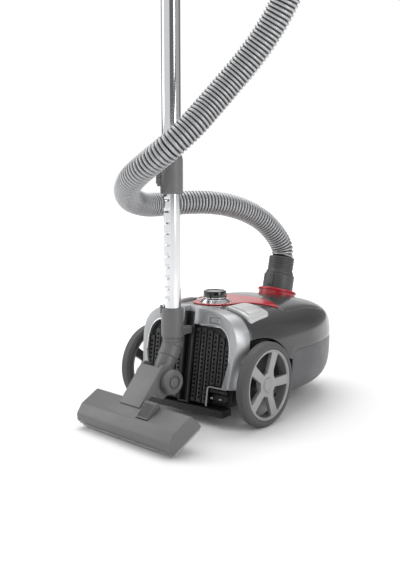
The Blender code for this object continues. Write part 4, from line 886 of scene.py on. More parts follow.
dot_tree, given = new_tree("dot_scale", [("Count", "NodeSocketInt"), ("Radius", "NodeSocketFloat"),
                                         ("Sweep", "NodeSocketFloat"), ("Dot", "NodeSocketFloat")])
arc_line = add(dot_tree, "GeometryNodeCurveArc", Resolution=given["Count"], Radius=given["Radius"],
               Start_Angle=math.radians(200), Sweep_Angle=given["Sweep"])
spots = add(dot_tree, "GeometryNodeCurveToPoints", {"mode": "EVALUATED"}, Curve=arc_line.outputs[0])
disc = add(dot_tree, "GeometryNodeMeshCylinder", Vertices=16, Radius=given["Dot"], Depth=0.5 * MM)
order = add(dot_tree, "GeometryNodeInputIndex")
grow = add(dot_tree, "ShaderNodeMath", {"operation": "MULTIPLY_ADD"}, i0=order.outputs[0], i1=0.055, i2=0.6)
dots = add(dot_tree, "GeometryNodeInstanceOnPoints", Points=spots.outputs[0], Instance=disc.outputs["Mesh"],
           Scale=grow.outputs[0])
dot_paint = moulded("white_printed_ink", "#e4e4e4", "#f0f0f0", 0.4)
close_tree(dot_tree, dots.outputs[0], dot_paint)
dots_mesh = made_by(dot_tree, new_object("dot_seed", bpy.data.meshes.new("dot_seed")), Count=13,
                    Radius=SKIRT_R + 6 * MM, Sweep=math.radians(200), Dot=1.25 * MM)
for vertex in dots_mesh.vertices:
    vertex.co.y += KNOB.y
    vertex.co.z += surface_z(vertex.co.x, vertex.co.y) + 1.9 * MM
as_piece(new_object("knob_dots", dots_mesh), dot_paint, "canister")
print("knob dots:", len(dots_mesh.polygons), "faces")

# %% [markdown]
# The bezel is a deep silver arch round the exhaust, cut from the body's form. Its opening is one
# line of corners, all rounded by the same radius. A chrome lip runs along the inner edge on either
# side of the channel, so it catches the light.

# %% Bezel and latches
BEZEL_HALF_W = 119 * MM
BEZEL_TOP = 197 * MM
CHANNEL_HALF_W = 13 * MM
LATCH_X = 62 * MM


def arch(inset, low_left, low_right, top_limit=1.0):
    points = []
    for t in spread(41):
        c, s = math.cos(math.pi * t), math.sin(math.pi * t)
        width = (BEZEL_HALF_W - inset) * math.copysign(abs(c) ** 0.5, c)
        height = 110 * MM + (BEZEL_TOP - inset - 110 * MM) * abs(s) ** 0.62
        points.append((width, min(height, top_limit)))
    foot = 104 * MM - inset
    return [(foot, low_right)] + points + [(-foot, low_left)]


inner = arch(16 * MM, 38 * MM, 38 * MM, 173 * MM)
FOOT = 58 * MM
bezel = combined(form("bezel_arch", 0, REAR_Y - 1 * MM),
                 [block("beyond", (-0.3, -0.1, 0), (0.3, 0.4, 0.2), REAR)])
eased(bezel, 5 * MM, 6, 60)
cuts = [block("ahead", (-0.3, -0.1, -0.6), (0.3, 0.4, -BEZEL_DEPTH), REAR),
        block("below_foot", (-0.3, -0.1, -0.1), (0.3, FOOT, 0.1), REAR),
        plate("bezel_opening", [filleted(inner, 8 * MM)], -0.05, 0.02, REAR),
        block("bezel_notch", (-13.3 * MM, 0.1, -14.3 * MM), (13.3 * MM, 0.3, 0.01), REAR)]
cuts += [block("latch_window", (side * LATCH_X - 13 * MM, 0.178, -0.012),
               (side * LATCH_X + 13 * MM, 0.19, 0.02), REAR)
         for side in (1, -1)]
combined(bezel, cuts)
as_piece(eased(bezel, 0.6 * MM, 2, 50), silver_paint, "canister", ["rear_bezel"])

lip_line = [REAR @ Vector((x, y, -1.2 * MM)) for x, y in inner[1:-1]]
for side, name in ((1, "right"), (-1, "left")):
    half = [p for p in lip_line if side * p.x > CHANNEL_HALF_W + 2 * MM]
    lip = swept_tube("bezel_lip_" + name, half, [1.6 * MM] * len(half), 16)
    as_piece(lip, chrome, "canister")
    latch = block("grille_catch_" + name, (side * LATCH_X - 12.4 * MM, 0.1786, -0.0086),
                  (side * LATCH_X + 12.4 * MM, 0.1894, -0.001), REAR, 1.4 * MM)
    combined(latch, [block("finger_dip", (side * LATCH_X - 9 * MM, 0.1812, -0.003),
                           (side * LATCH_X + 9 * MM, 0.1868, 0.01),
                           REAR, 1 * MM)])
    as_piece(latch, silver_paint, "latch_" + name, ["grille_latch_" + name])
print("bezel:", len(bezel.data.polygons), "faces")

# %% [markdown]
# The exhaust grille is a row of upright slats, each pierced by a column of square holes. One
# pierced cell is modelled from listed vertices, and Geometry Nodes stack it into a slat and merge the
# cells.

# %% Grille
CELL_HEIGHT = 8.2 * MM
SLAT_HALF_W = 5.6 * MM
HOLE_HALF = 2.2 * MM
SLAT_PITCH = 14.6 * MM
SLAT_FRONT = -4.5 * MM

stack_tree, given = new_tree("stack", [("Count", "NodeSocketInt"), ("Step", "NodeSocketVector"),
                                       ("Weld", "NodeSocketFloat"), ("Finish", "NodeSocketMaterial")])
stack_line = add(stack_tree, "GeometryNodeMeshLine", {"mode": "OFFSET"}, Count=given["Count"],
                 Offset=given["Step"])
stacked = add(stack_tree, "GeometryNodeInstanceOnPoints", Points=stack_line.outputs[0],
              Instance=given["Geometry"])
real_stack = add(stack_tree, "GeometryNodeRealizeInstances", Geometry=stacked.outputs[0])
welded = add(stack_tree, "GeometryNodeMergeByDistance", Geometry=real_stack.outputs[0],
             Distance=given["Weld"])
close_tree(stack_tree, welded.outputs[0], given["Finish"])


def pierced_cell():
    """One cell of a slat: a thick square ring, open above and below, its front slightly crowned."""
    work = bmesh.new()
    rows = {}
    for level, z in (("front", 0), ("back", -3.2 * MM)):
        for ix, x in enumerate((-SLAT_HALF_W, -HOLE_HALF, HOLE_HALF, SLAT_HALF_W)):
            for iy, y in enumerate((0, CELL_HEIGHT / 2 - HOLE_HALF, CELL_HEIGHT / 2 + HOLE_HALF,
                                    CELL_HEIGHT)):
                edge = 0.9 * MM if ix in (0, 3) and level == "front" else 0
                rows[level, ix, iy] = work.verts.new((x, y, z - edge))
    for ix in range(3):
        for iy in range(3):
            if (ix, iy) == (1, 1):
                continue
            for level in ("front", "back"):
                work.faces.new([rows[level, ix + a, iy + b] for a, b in ((0, 0), (1, 0), (1, 1), (0, 1))])
    for iy in range(3):
        for ix in (0, 3):
            side_corners = (("front", 0), ("front", 1), ("back", 1), ("back", 0))
            work.faces.new([rows[level, ix, iy + step] for level, step in side_corners])
    for (a, b), (c, d) in (((1, 1), (2, 1)), ((2, 1), (2, 2)), ((2, 2), (1, 2)), ((1, 2), (1, 1))):
        work.faces.new([rows["front", a, b], rows["front", c, d], rows["back", c, d], rows["back", a, b]])
    bmesh.ops.recalc_face_normals(work, faces=work.faces)
    mesh = bpy.data.meshes.new("cell")
    work.to_mesh(mesh)
    work.free()
    return mesh


for side, name in ((1, "right"), (-1, "left")):
    slats = []
    for column in range(6):
        x = CHANNEL_HALF_W + 8.5 * MM + column * SLAT_PITCH
        low = 61 * MM if side > 0 and x > 52 * MM else 24 * MM
        high = [166, 166, 164, 160, 153, 138][column] * MM
        count = int((high - low - 8 * MM) / CELL_HEIGHT)
        first = (low + high - count * CELL_HEIGHT) / 2
        at = REAR @ Matrix.Translation((side * x, first, SLAT_FRONT))
        mesh = made_by(stack_tree, new_object("cell", pierced_cell()), Count=count,
                       Step=(0, CELL_HEIGHT, 0),
                       Weld=0.01 * MM, Finish=grille_abs)
        mesh.transform(at)
        slats.append(new_object("slat", mesh))
        for a, b in ((low, first - 0.05 * MM), (first + count * CELL_HEIGHT + 0.05 * MM, high)):
            slats.append(block("slat_end", (side * x - SLAT_HALF_W, a, SLAT_FRONT - 3.2 * MM),
                               (side * x + SLAT_HALF_W, b, SLAT_FRONT), REAR, 0.6 * MM, 2))
    joined = bmesh.new()
    for slat in slats:
        joined.from_mesh(slat.data)
        bpy.data.objects.remove(slat, do_unlink=True)
    mesh = bpy.data.meshes.new("grille_slats_" + name)
    joined.to_mesh(mesh)
    joined.free()
    as_piece(new_object("grille_slats_" + name, mesh), grille_abs, "canister",
             ["exhaust_grille_" + name], math.radians(25))
    outline = [(side * p[0], p[1]) for p in [mm(14, 22), (56 * MM if side > 0 else 84 * MM, 22 * MM),
               (56 * MM if side > 0 else 86 * MM, 61 * MM), mm(86, 61), mm(96, 80), mm(101, 110),
               mm(97, 140), mm(87, 160), mm(69, 171), mm(14, 171)]]
    backing = plate("grille_backing_" + name, [filleted(outline, 4 * MM)], -13.5 * MM, -9 * MM, REAR,
                    0.5 * MM)
    as_piece(backing, black_pp, "canister")
    print("grille", name, len(mesh.polygons), "faces")

channel = block("park_channel_body", mm(-13, 19, -14), mm(13, 196, -1), REAR, 0.8 * MM)
combined(channel, [block("park_slot", mm(-9, 22, -11), (9 * MM, 0.25, 0.01), REAR)])
as_piece(eased(channel, 0.5 * MM, 2, 50), black_pp, "canister", ["park_channel"])

# %% [markdown]
# The plug is parked in a recess at the lower right, under a roller bar. A pale frame outlines
# the recess. The plug is a black moulding with two chromed pins.

# %% Plug recess
RECESS_LEFT, RECESS_RIGHT, RECESS_TOP = 57 * MM, 101 * MM, 57.5 * MM
FRAME_ROUND = 7 * MM
bar_at = middle("recess_bar")
recess_line = filleted([(RECESS_LEFT, 20 * MM), (RECESS_LEFT, RECESS_TOP, FRAME_ROUND),
                        (RECESS_RIGHT, RECESS_TOP)],
                       FRAME_ROUND, closed=False, count=8)
recess_frame = swept_tube("recess_frame", [REAR @ Vector((x, y, -3 * MM)) for x, y in recess_line],
                          [1.7 * MM] * len(recess_line), 16)
as_piece(recess_frame, silver_paint, "canister")
hood_line = rectangle(RECESS_LEFT, 22 * MM, RECESS_RIGHT, 57 * MM)
hood = plate("recess_hood", [filleted(hood_line, 4 * MM)],
             -26.5 * MM, -24.5 * MM, REAR, 0.4 * MM)
as_piece(hood, black_pp, "canister")
bar_half = (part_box("recess_bar")[1][0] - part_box("recess_bar")[0][0]) / 2
bar = lathed("recess_roller", [(0, bar_half), (3.5 * MM, bar_half), (3.5 * MM, -bar_half), (0, -bar_half)],
             Matrix.Translation(bar_at) @ Matrix.Rotation(math.pi / 2, 4, "Y"), 0.5 * MM, 32, ring=False)
as_piece(bar, grille_abs, "canister", ["recess_bar"])
PLUG_HALF_HEIGHT = 7.5 * MM
plug_y = 37 * MM
plug_at = REAR @ Matrix.Translation((79 * MM, plug_y, 0))
plug_line = rectangle(-17 * MM, -PLUG_HALF_HEIGHT, 17 * MM, PLUG_HALF_HEIGHT)
plug_body = plate("plug_body", [filleted(plug_line, 7.4 * MM, count=10)], -27 * MM, -12 * MM, plug_at,
                  1.5 * MM)
as_piece(plug_body, black_pp, "canister", ["mains_plug"])
for pin_side in (-1, 1):
    pin = lathed("plug_pin_right" if pin_side > 0 else "plug_pin_left",
                 [mm(0, -2), mm(2.2, -2, 1.2), mm(2.2, -14), mm(0, -14)],
                 plug_at @ Matrix.Translation((pin_side * 9.5 * MM, 0, 0)), 0.2 * MM, 24, ring=False)
    as_piece(pin, chrome, "canister")
print("plug recess", round((RECESS_RIGHT - RECESS_LEFT) / MM), "mm wide")

# %% [markdown]
# A wheel is a soft grey tyre with rounded shoulders on a silver hub. The hub's face is one
# plate with five openings, so its spokes and rim share their rounded edges.

# %% Wheels
HUB_R = 68.5 * MM
SPOKES = 5
for side, name in ((1, "right"), (-1, "left")):
    wheel_frame = along((side, 0, 0), (0, AXLE.y, TYRE_R))
    outer_x, inner_x = 158 * MM, 134 * MM
    tyre = lathed("tyre_ring_" + name, [
        (HUB_R + 0.3 * MM, outer_x - 0.5 * MM), (HUB_R + 2.5 * MM, outer_x, 1 * MM),
        (TYRE_R - 5.5 * MM, outer_x, 5 * MM),
        (TYRE_R, outer_x - 5.5 * MM, 5 * MM), (TYRE_R, inner_x + 5 * MM, 4 * MM),
        (TYRE_R - 5 * MM, inner_x, 4 * MM),
        (HUB_R + 0.3 * MM, inner_x)], wheel_frame, 0.6 * MM, 144, count=6)
    as_piece(tyre, tyre_rubber, "wheel_" + name, ["tyre_" + name])
    rim_r, boss_r, half_spoke = HUB_R - 6 * MM, 24 * MM, 10 * MM
    loops = [arc((0, 0), HUB_R - 0.3 * MM, 0, 360 - 360 / 120, 120)]
    for i in range(SPOKES):
        mid = 90 + 360 / SPOKES * (i + 0.5)
        at_rim = 180 / SPOKES - math.degrees(math.asin(half_spoke / rim_r))
        at_boss = 180 / SPOKES - math.degrees(math.asin(half_spoke * 0.86 / boss_r))
        outside = arc((0, 0), rim_r, mid - at_rim, mid + at_rim, 12)
        inside = arc((0, 0), boss_r, mid + at_boss, mid - at_boss, 4)
        corners = (outside[0], outside[-1], inside[0], inside[-1])
        window = [(*p, 3 * MM if p in corners else 0) for p in outside + inside]
        loops.append(filleted(window, 0, count=6))
    face = plate("hub_face_" + name, loops, outer_x - 11 * MM, outer_x - 2 * MM, wheel_frame, 1.6 * MM, 4)
    for vertex in face.data.vertices:
        share = math.hypot(vertex.co.y - AXLE.y, vertex.co.z - TYRE_R) / rim_r
        vertex.co.x -= side * 2.6 * MM * max(0, 1 - (share * 1.02) ** 2)
    as_piece(face, hub_paint, "wheel_" + name, ["hub_" + name])
    barrel = lathed("hub_barrel_" + name,
                    [(HUB_R - 0.4 * MM, outer_x - 4 * MM), (HUB_R - 0.4 * MM, inner_x + 2 * MM),
                     (rim_r, inner_x + 2 * MM), (rim_r + 0.6 * MM, outer_x - 4 * MM)],
                    wheel_frame)
    as_piece(barrel, hub_paint, "wheel_" + name)
    lip = lathed("hub_lip_" + name,
                 [(HUB_R - 0.2 * MM, outer_x - 0.8 * MM), (HUB_R - 0.2 * MM, outer_x - 3 * MM),
                  (rim_r + 1.5 * MM, outer_x - 3 * MM),
                  (rim_r + 2.5 * MM, outer_x - 0.8 * MM)],
                 wheel_frame, 0.9 * MM, 120)
    as_piece(lip, hub_paint, "wheel_" + name)
    boss = lathed("hub_boss_" + name, [(0, outer_x - 3.2 * MM), (9 * MM, outer_x - 3.2 * MM, 0.6 * MM),
                                       (10 * MM, outer_x - 2.4 * MM, 0.6 * MM),
                                       (13.5 * MM, outer_x - 2.4 * MM, 0.8 * MM),
                                       (15 * MM, outer_x - 4.2 * MM), (17 * MM, inner_x + 3 * MM),
                                       (7 * MM, inner_x + 3 * MM),
                                       (7 * MM, outer_x - 9 * MM), (0, outer_x - 9 * MM)], wheel_frame,
                  0.5 * MM, 96, ring=False)
    as_piece(boss, hub_paint, "wheel_" + name)
print("wheels", round(2 * TYRE_R / MM), "mm across")

# %% [markdown]
# The hose plugs into the lid through a red ring. The cuff has a slot with a release button,
# and a ribbed collar swivels on it.

# %% Inlet, cuff and collar
ring_piece = lathed("inlet_collar_ring", [
    mm(38, 7.2, 1.2), mm(40, 8.6, 2), mm(42.3, 7.4, 2), mm(43.5, 3.4, 1),
    mm(40.5, 3.2), mm(40.5, -16), mm(37, -16), mm(37, 6)], inlet_frame, 0.5 * MM, 120)
as_piece(ring_piece, red_lacquer, "lid", ["inlet_ring"])
cuff = lathed("hose_cuff_body", [mm(30, 43), mm(31.8, 43, 1), mm(33.6, 41, 1.2),
                                 mm(34, -12), mm(30, -12)], cuff_frame, 0.6 * MM, 120)
combined(cuff, [block("button_slot", (-7.5 * MM, -0.039, 14 * MM), (7.5 * MM, -0.02, 38 * MM), cuff_frame,
                      2 * MM)])
as_piece(cuff, cuff_pp, "cuff", ["hose_cuff"])
button = block("cuff_release_button", mm(-7, -35.5, 14.6), mm(7, -31, 37.4), cuff_frame, 1.3 * MM)
as_piece(button, cuff_pp, "cuff_release", ["cuff_button"])
collar_profile = [mm(25, 82), mm(27.5, 82, 1)]
for i in range(5):
    crest = (78.5 - i * 5.2) * MM
    collar_profile += [(28.5 * MM, crest + 1.3 * MM, 0.8 * MM), (28.5 * MM, crest - 1.3 * MM, 0.8 * MM),
                       (27.2 * MM, crest - 1.9 * MM, 0.6 * MM), (27.2 * MM, crest - 3.2 * MM, 0.6 * MM)]
collar_profile += [mm(28.8, 50, 1), mm(30.5, 47, 1), mm(30.5, 43.3), mm(25.5, 43.3),
                   mm(25.5, 70)]
collar = lathed("hose_collar_ribs", collar_profile, cuff_frame, 0.5 * MM, 120)
as_piece(collar, cuff_pp, "cuff", ["hose_collar"])
print("cuff", len(cuff.data.polygons), "faces")

# %% [markdown]
# The wand's lower tube has a row of pressed detents, which the telescope's collar locks into.
# They are small dishes pressed into the tube's wall, so the mesh itself is dished.

# %% Wand tubes
WAND = Vector((0, middle("wand_inner_tube").y, 0))
wand_frame = Matrix.Translation(WAND)
SLIDER_TURN = math.radians(221)
DETENT_TURN = math.radians(270)
DETENT_PITCH = 20.6 * MM
tube_low, tube_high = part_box("wand_inner_tube")[0][2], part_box("wand_inner_tube")[1][2]


def detented_tube(name, radius, wall, low, high, dents_from, dents_to):
    """A tube whose wall is pressed in at even steps on one side."""
    around, rows = 96, int((high - low) / (1.3 * MM))
    work = bmesh.new()
    rings = []
    for row in range(rows + 1):
        z = low + (high - low) * row / rows
        nearest = round((z - dents_from) / DETENT_PITCH) * DETENT_PITCH + dents_from
        level = max(0, 1 - ((z - nearest) / (3.2 * MM)) ** 2) if dents_from - 1 * MM < z < dents_to else 0
        ring = []
        for k in range(around):
            turn = math.tau * k / around
            off = (turn - DETENT_TURN + math.pi) % math.tau - math.pi
            dent = 1.8 * MM * math.sqrt(level * max(0, 1 - (off * radius / (6.5 * MM)) ** 2))
            ring.append(work.verts.new(((radius - dent) * math.cos(turn), (radius - dent) * math.sin(turn),
                                        z)))
        rings.append(ring)
    inside = [[work.verts.new(((radius - wall) * math.cos(math.tau * k / around),
                               (radius - wall) * math.sin(math.tau * k / around),
                               z)) for k in range(around)]
              for z in (high, low)]
    rings += inside
    for a, b in zip(rings, rings[1:] + rings[:1]):
        for k in range(around):
            j = (k + 1) % around
            work.faces.new((a[k], a[j], b[j], b[k]))
    bmesh.ops.recalc_face_normals(work, faces=work.faces)
    mesh = bpy.data.meshes.new(name)
    work.to_mesh(mesh)
    work.free()
    mesh.transform(wand_frame)
    return new_object(name, mesh)


lower_tube = detented_tube("wand_lower_tube", 16 * MM, 2.8 * MM, tube_low, tube_high, 246 * MM, 690 * MM)
as_piece(lower_tube, drawn_chrome, "wand_lower", ["wand_inner_tube"])
out_low, out_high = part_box("wand_outer_tube")[0][2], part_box("wand_outer_tube")[1][2]
upper_tube = lathed("wand_upper_tube",
                    [(17.6 * MM, out_high), (17.6 * MM, out_low), (16.4 * MM, out_low),
                     (16.4 * MM, out_high)],
                    wand_frame, 0.4 * MM)
as_piece(upper_tube, drawn_chrome, "wand_upper", ["wand_outer_tube"])
print("lower tube", len(lower_tube.data.polygons), "faces")

# %% Telescope collar and its slider
low = out_low - 4 * MM
sleeve = lathed("telescope_sleeve", [
    (17.9 * MM, low + 71 * MM), (19.2 * MM, low + 71 * MM, 0.6 * MM), (21 * MM, low + 63 * MM, 2 * MM),
    (21 * MM, low + 3 * MM),
    (20.2 * MM, low + 1 * MM), (19.4 * MM, low), (16.3 * MM, low), (16.3 * MM, out_low - 0.3 * MM),
    (17.9 * MM, out_low - 0.3 * MM)], wand_frame, 0.6 * MM)
slider_frame = wand_frame @ Matrix.Rotation(SLIDER_TURN, 4, "Z")
track = block("slider_track", (18.2 * MM, -7 * MM, low + 14 * MM), (27 * MM, 7 * MM, low + 57 * MM),
              slider_frame, 2 * MM)
combined(sleeve, [track], "UNION")
combined(sleeve, [block("slider_pocket", (22.2 * MM, -5 * MM, low + 18 * MM),
                        (30 * MM, 5 * MM, low + 53 * MM), slider_frame, 0.6 * MM)])
as_piece(sleeve, nozzle_abs, "wand_upper", ["telescope_collar"])
slider = block("telescope_slider_key", (22.5 * MM, -4.6 * MM, low + 19 * MM),
               (29 * MM, 4.6 * MM, low + 44 * MM), slider_frame, 1.2 * MM)
combined(slider, [block("thumb_groove", (28.2 * MM, -6 * MM, low + (23 + 4 * i) * MM),
                        (31 * MM, 6 * MM, low + (24.6 + 4 * i) * MM),
                        slider_frame) for i in range(5)])
as_piece(slider, cuff_pp, "telescope_key", ["collar_slider"])

# %% [markdown]
# The nozzle's socket holds the tube's foot, with the park hook on its back and a sprung catch
# at its lip. Below it the elbow turns in the socket, marked by three turned grooves.

# %% Socket and elbow
SOCKET_LOW, SOCKET_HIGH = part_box("nozzle_socket")[0][2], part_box("nozzle_socket")[1][2]
socket = lathed("socket_sleeve", [
    (16.3 * MM, SOCKET_HIGH), (20 * MM, SOCKET_HIGH, 1 * MM), (21.3 * MM, SOCKET_HIGH - 1.6 * MM, 1 * MM),
    (21.3 * MM, SOCKET_LOW + 3 * MM), (20.6 * MM, SOCKET_LOW + 0.8 * MM), (19.6 * MM, SOCKET_LOW),
    (13.3 * MM, SOCKET_LOW),
    (13.3 * MM, tube_low - 0.3 * MM), (16.3 * MM, tube_low - 0.3 * MM)], wand_frame, 0.5 * MM)
hook_high = SOCKET_LOW + 15 * MM
hook = block("hook", (-7.5 * MM, WAND.y + 19 * MM, SOCKET_LOW + 1 * MM),
             (7.5 * MM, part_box("nozzle_socket")[1][1], hook_high), None, 1 * MM)
combined(socket, [hook], "UNION")
combined(socket, [block("catch_notch", (17.1 * MM, -4.5 * MM, SOCKET_HIGH - 11 * MM),
                        (0.03, 4.5 * MM, SOCKET_HIGH + 1 * MM), slider_frame)])
as_piece(socket, nozzle_abs, "wand_lower", ["nozzle_socket"])
catch = block("socket_catch", (18.6 * MM, -4.1 * MM, SOCKET_HIGH - 10.6 * MM),
              (23.1 * MM, 4.1 * MM, SOCKET_HIGH + 5 * MM),
              slider_frame, 1.2 * MM)
as_piece(catch, nozzle_abs, "socket_key", ["socket_button"])

NOZZLE_YAW = math.radians(-6.7)
HINGE_REACH = 40 * MM
HINGE_Z = 98 * MM
HEAD_PITCH = math.radians(29.5)
turn_frame = wand_frame @ Matrix.Translation((0, -HINGE_REACH, 0)) @ Matrix.Rotation(NOZZLE_YAW, 4, "Z")
hinge_frame = turn_frame @ Matrix.Translation((0, 0, HINGE_Z)) @ Matrix.Rotation(HEAD_PITCH, 4, "X")
head_frame = hinge_frame @ Matrix.Translation(mm(15, 0, 0))
hinge_at = hinge_frame.translation
elbow_high = SOCKET_LOW - 0.3 * MM
knee = WAND + Vector((0, -3 * MM, elbow_high - 20 * MM))


def elbow_line(first, last, count=40):
    """From straight up the wand round to the hinge."""
    a = WAND + Vector((0, 0, first))
    turn_in = WAND + Vector((0, 0, elbow_high - 12 * MM))
    line = [a, WAND + Vector((0, 0, elbow_high - 8 * MM))]
    for t in spread(count):
        line.append((turn_in * (1 - t) + knee * t) * (1 - t) + (knee * (1 - t) + last * t) * t)
    return line


elbow_points = evenly(elbow_line(elbow_high, hinge_at), 90)
elbow_radii = []
for i, point in enumerate(elbow_points):
    done = run_length(elbow_points[:i + 1])
    dent = max(0, 1 - min(abs(done - g * MM) for g in (7, 12, 17, 40)) / (0.9 * MM))
    elbow_radii.append((18.5 + (1.2 if 7 < done / MM < 40 else 0)) * MM - 1.1 * MM * dent)
elbow = swept_tube("swivel_elbow", elbow_points, elbow_radii, 96)
barrel = lathed("hinge_barrel", [mm(0, 22), mm(20, 22, 1), mm(20, -22, 1), mm(0, -22)],
                hinge_frame @ Matrix.Rotation(math.pi / 2, 4, "Y"), 0.8 * MM, 96, ring=False)
combined(elbow, [barrel], "UNION")
as_piece(elbow, nozzle_abs, "neck", ["neck_elbow"])
print("elbow", len(elbow.data.polygons), "faces")

# %% [markdown]
# The head is a wide, low moulding with rounded ends. A sloping cover rises from it and forks
# round the elbow's barrel, with a round cap on each side.

# %% Nozzle head
SOLE_DROP = 36.5 * MM
HEAD_TOP = 2 * MM
HEAD_REACH = 53 * MM
HEAD_DEPTH = 79 * MM
HEAD_HALF = 131 * MM
head_side = hinge_frame @ ACROSS
cover_line = [(-86 * MM, HEAD_TOP + 0.3 * MM, 2 * MM), mm(2, 36, 4), mm(14, 27, 5),
              mm(22, 6, 8), mm(18, -15, 8), mm(4, -24, 8),
              mm(-30, -20, 5), (-40 * MM, HEAD_TOP + 0.3 * MM, 2 * MM)]
cover = plate("neck_fork", [filleted(cover_line, 3 * MM, count=8)], -29 * MM, 29 * MM, head_side, 1.8 * MM,
              4)
room = [(-66 * MM, HEAD_TOP + 3 * MM), mm(-4, 31), mm(6, 60), mm(60, 60), mm(60, -60),
        mm(-21, -60), mm(-31, 0)]
combined(cover, [plate("barrel_room", [room], -22.5 * MM, 22.5 * MM, head_side)])
as_piece(eased(cover, 0.6 * MM, 2, 50), nozzle_abs, "nozzle_head", ["neck_cover"])
for side, name in ((1, "right"), (-1, "left")):
    cap = lathed("pivot_disc_" + name, [
        mm(0, 43.2), mm(9.6, 43.2, 1), mm(10, 40.6, 0.5), mm(12.5, 40.6, 0.5),
        mm(13, 44.3, 1), mm(20, 44.3, 1.5), mm(23, 41.3, 2), mm(23, 31.5),
        mm(22.2, 30.9), mm(22.2, 29.3), mm(0, 29.3)], hinge_frame @ along((side, 0, 0), (0, 0, 0)),
        0.5 * MM, 96, ring=False)
    as_piece(cap, nozzle_abs, "nozzle_head", ["pivot_cap_" + name])

rear, front = -HEAD_REACH, -HEAD_REACH - HEAD_DEPTH
low = 4.3 * MM - SOLE_DROP
head_line = [(rear, low, 2.5 * MM), (rear - 10 * MM, HEAD_TOP, 5 * MM),
             (front + 24 * MM, HEAD_TOP, 14 * MM),
             (front + 5 * MM, HEAD_TOP - 10 * MM, 10 * MM), (front, low + 13 * MM, 8 * MM),
             (front + 3 * MM, low, 3 * MM)]
head = plate("head_body", [filleted(head_line, 3 * MM, count=9)], -HEAD_HALF, HEAD_HALF,
             head_frame @ ACROSS, 2 * MM, 4)
head_room = [(rear - 4 * MM, low - 5 * MM), (rear - 12 * MM, HEAD_TOP - 3 * MM),
             (front + 24 * MM, HEAD_TOP - 3 * MM),
             (front + 6 * MM, low + 12 * MM), (front + 6 * MM, low - 5 * MM)]
combined(head, [plate("head_room", [head_room], 3.5 * MM - HEAD_HALF, HEAD_HALF - 3.5 * MM,
                      head_frame @ ACROSS),
                block("pedal_window", mm(22, -102, -10), mm(54, -62, 50), head_frame)])
as_piece(eased(head, 0.5 * MM, 2, 50), nozzle_abs, "nozzle_head", ["head_shell"])
print("head", len(head.data.polygons), "faces")

# %% [markdown]
# The rocker that drops the brushes has raised ribs for a toe. The sole is a brushed steel
# plate, and the bristles stand in rows in its slots. Both rows come from the stacking tree.

# %% Rocker, sole and brushes
pedal_line = [mm(-100, 0, 1.5), mm(-64, 0, 1.5), mm(-64, 11, 2), mm(-70, 14, 2),
              mm(-100, 4, 2)]
rocker = plate("toe_rocker", [filleted(pedal_line, 1.5 * MM)], 23 * MM, 53 * MM, head_frame @ ACROSS,
               0.8 * MM)
slope = math.atan2(10, 30)
rib_cell = block("rib", mm(-0.7, -14, 0), mm(0.7, 14, 1.4), None, 0.4 * MM, 2)
rib_mesh = rib_cell.data
bpy.data.objects.remove(rib_cell, do_unlink=True)
rib_rows = made_by(stack_tree, new_object("rib", rib_mesh), Count=9, Step=mm(3, 0, 0), Weld=0.0,
                   Finish=nozzle_abs)
rib_rows.transform(head_frame @ Matrix.Translation(mm(26, -85, 8.8)) @ Matrix.Rotation(slope, 4, "X"))
combined(rocker, [new_object("ribs", rib_rows)], "UNION")
as_piece(rocker, nozzle_abs, "rocker", ["nozzle_pedal"])

mouth_y = -92.5 * MM
sole_half = HEAD_HALF - 2 * MM
sole_loops = [rectangle(-sole_half, -129 * MM, sole_half, -56 * MM)]
for y, half_y, inset in ((0, 6, 12), (12, 2.5, 13), (-12, 2.5, 13)):
    x = sole_half - inset * MM
    sole_loops.append(rectangle(-x, mouth_y + (y - half_y) * MM, x, mouth_y + (y + half_y) * MM))
sole = plate("steel_sole",
             [filleted(sole_loops[0], 4 * MM)] + [filleted(slot, 2 * MM) for slot in sole_loops[1:]],
             -SOLE_DROP, 4 * MM - SOLE_DROP, head_frame, 0.8 * MM)
as_piece(sole, brushed_steel, "nozzle_head", ["sole_plate"])

strip_half = sole_half - 14 * MM
tuft = lathed("tuft", [mm(0, 8), mm(1.5, 8), mm(1.9, 0), (0, 0)], Matrix.Identity(4), 0.2 * MM, 8,
              ring=False, count=2)
tuft_mesh = tuft.data
bpy.data.objects.remove(tuft, do_unlink=True)
TUFT_PITCH = 4 * MM
count = int(2 * strip_half / TUFT_PITCH) - 1
brush = bmesh.new()
for row_y in mm(-12, 12):
    row = made_by(stack_tree, new_object("tuft", tuft_mesh.copy()), Count=count, Step=(TUFT_PITCH, 0, 0),
                  Weld=0.0,
                  Finish=bristle_nylon)
    row.transform(head_frame @ Matrix.Translation((-TUFT_PITCH * (count - 1) / 2, mouth_y + row_y,
                                                   0.8 * MM - SOLE_DROP)))
    brush.from_mesh(row)
brush_mesh = bpy.data.meshes.new("brush_tufts")
brush.to_mesh(brush_mesh)
brush.free()
as_piece(new_object("brush_tufts", brush_mesh), bristle_nylon, "brushes", ["brush_strips"])
carrier_rim = rectangle(-strip_half, mouth_y - 14 * MM, strip_half, mouth_y + 14 * MM)
carrier_mouth = rectangle(6 * MM - strip_half, mouth_y - 6 * MM, strip_half - 6 * MM, mouth_y + 6 * MM)
carrier = plate("brush_carrier", [carrier_rim, carrier_mouth],
                -29 * MM, -27 * MM, head_frame, 0.3 * MM)
as_piece(carrier, black_pp, "brushes")
print("bristle tufts:", 2 * count)

# %% [markdown]
# The handle is a bent grip over the outer tube, with a vent slider near the hose. The hose
# ends in a flared cuff.

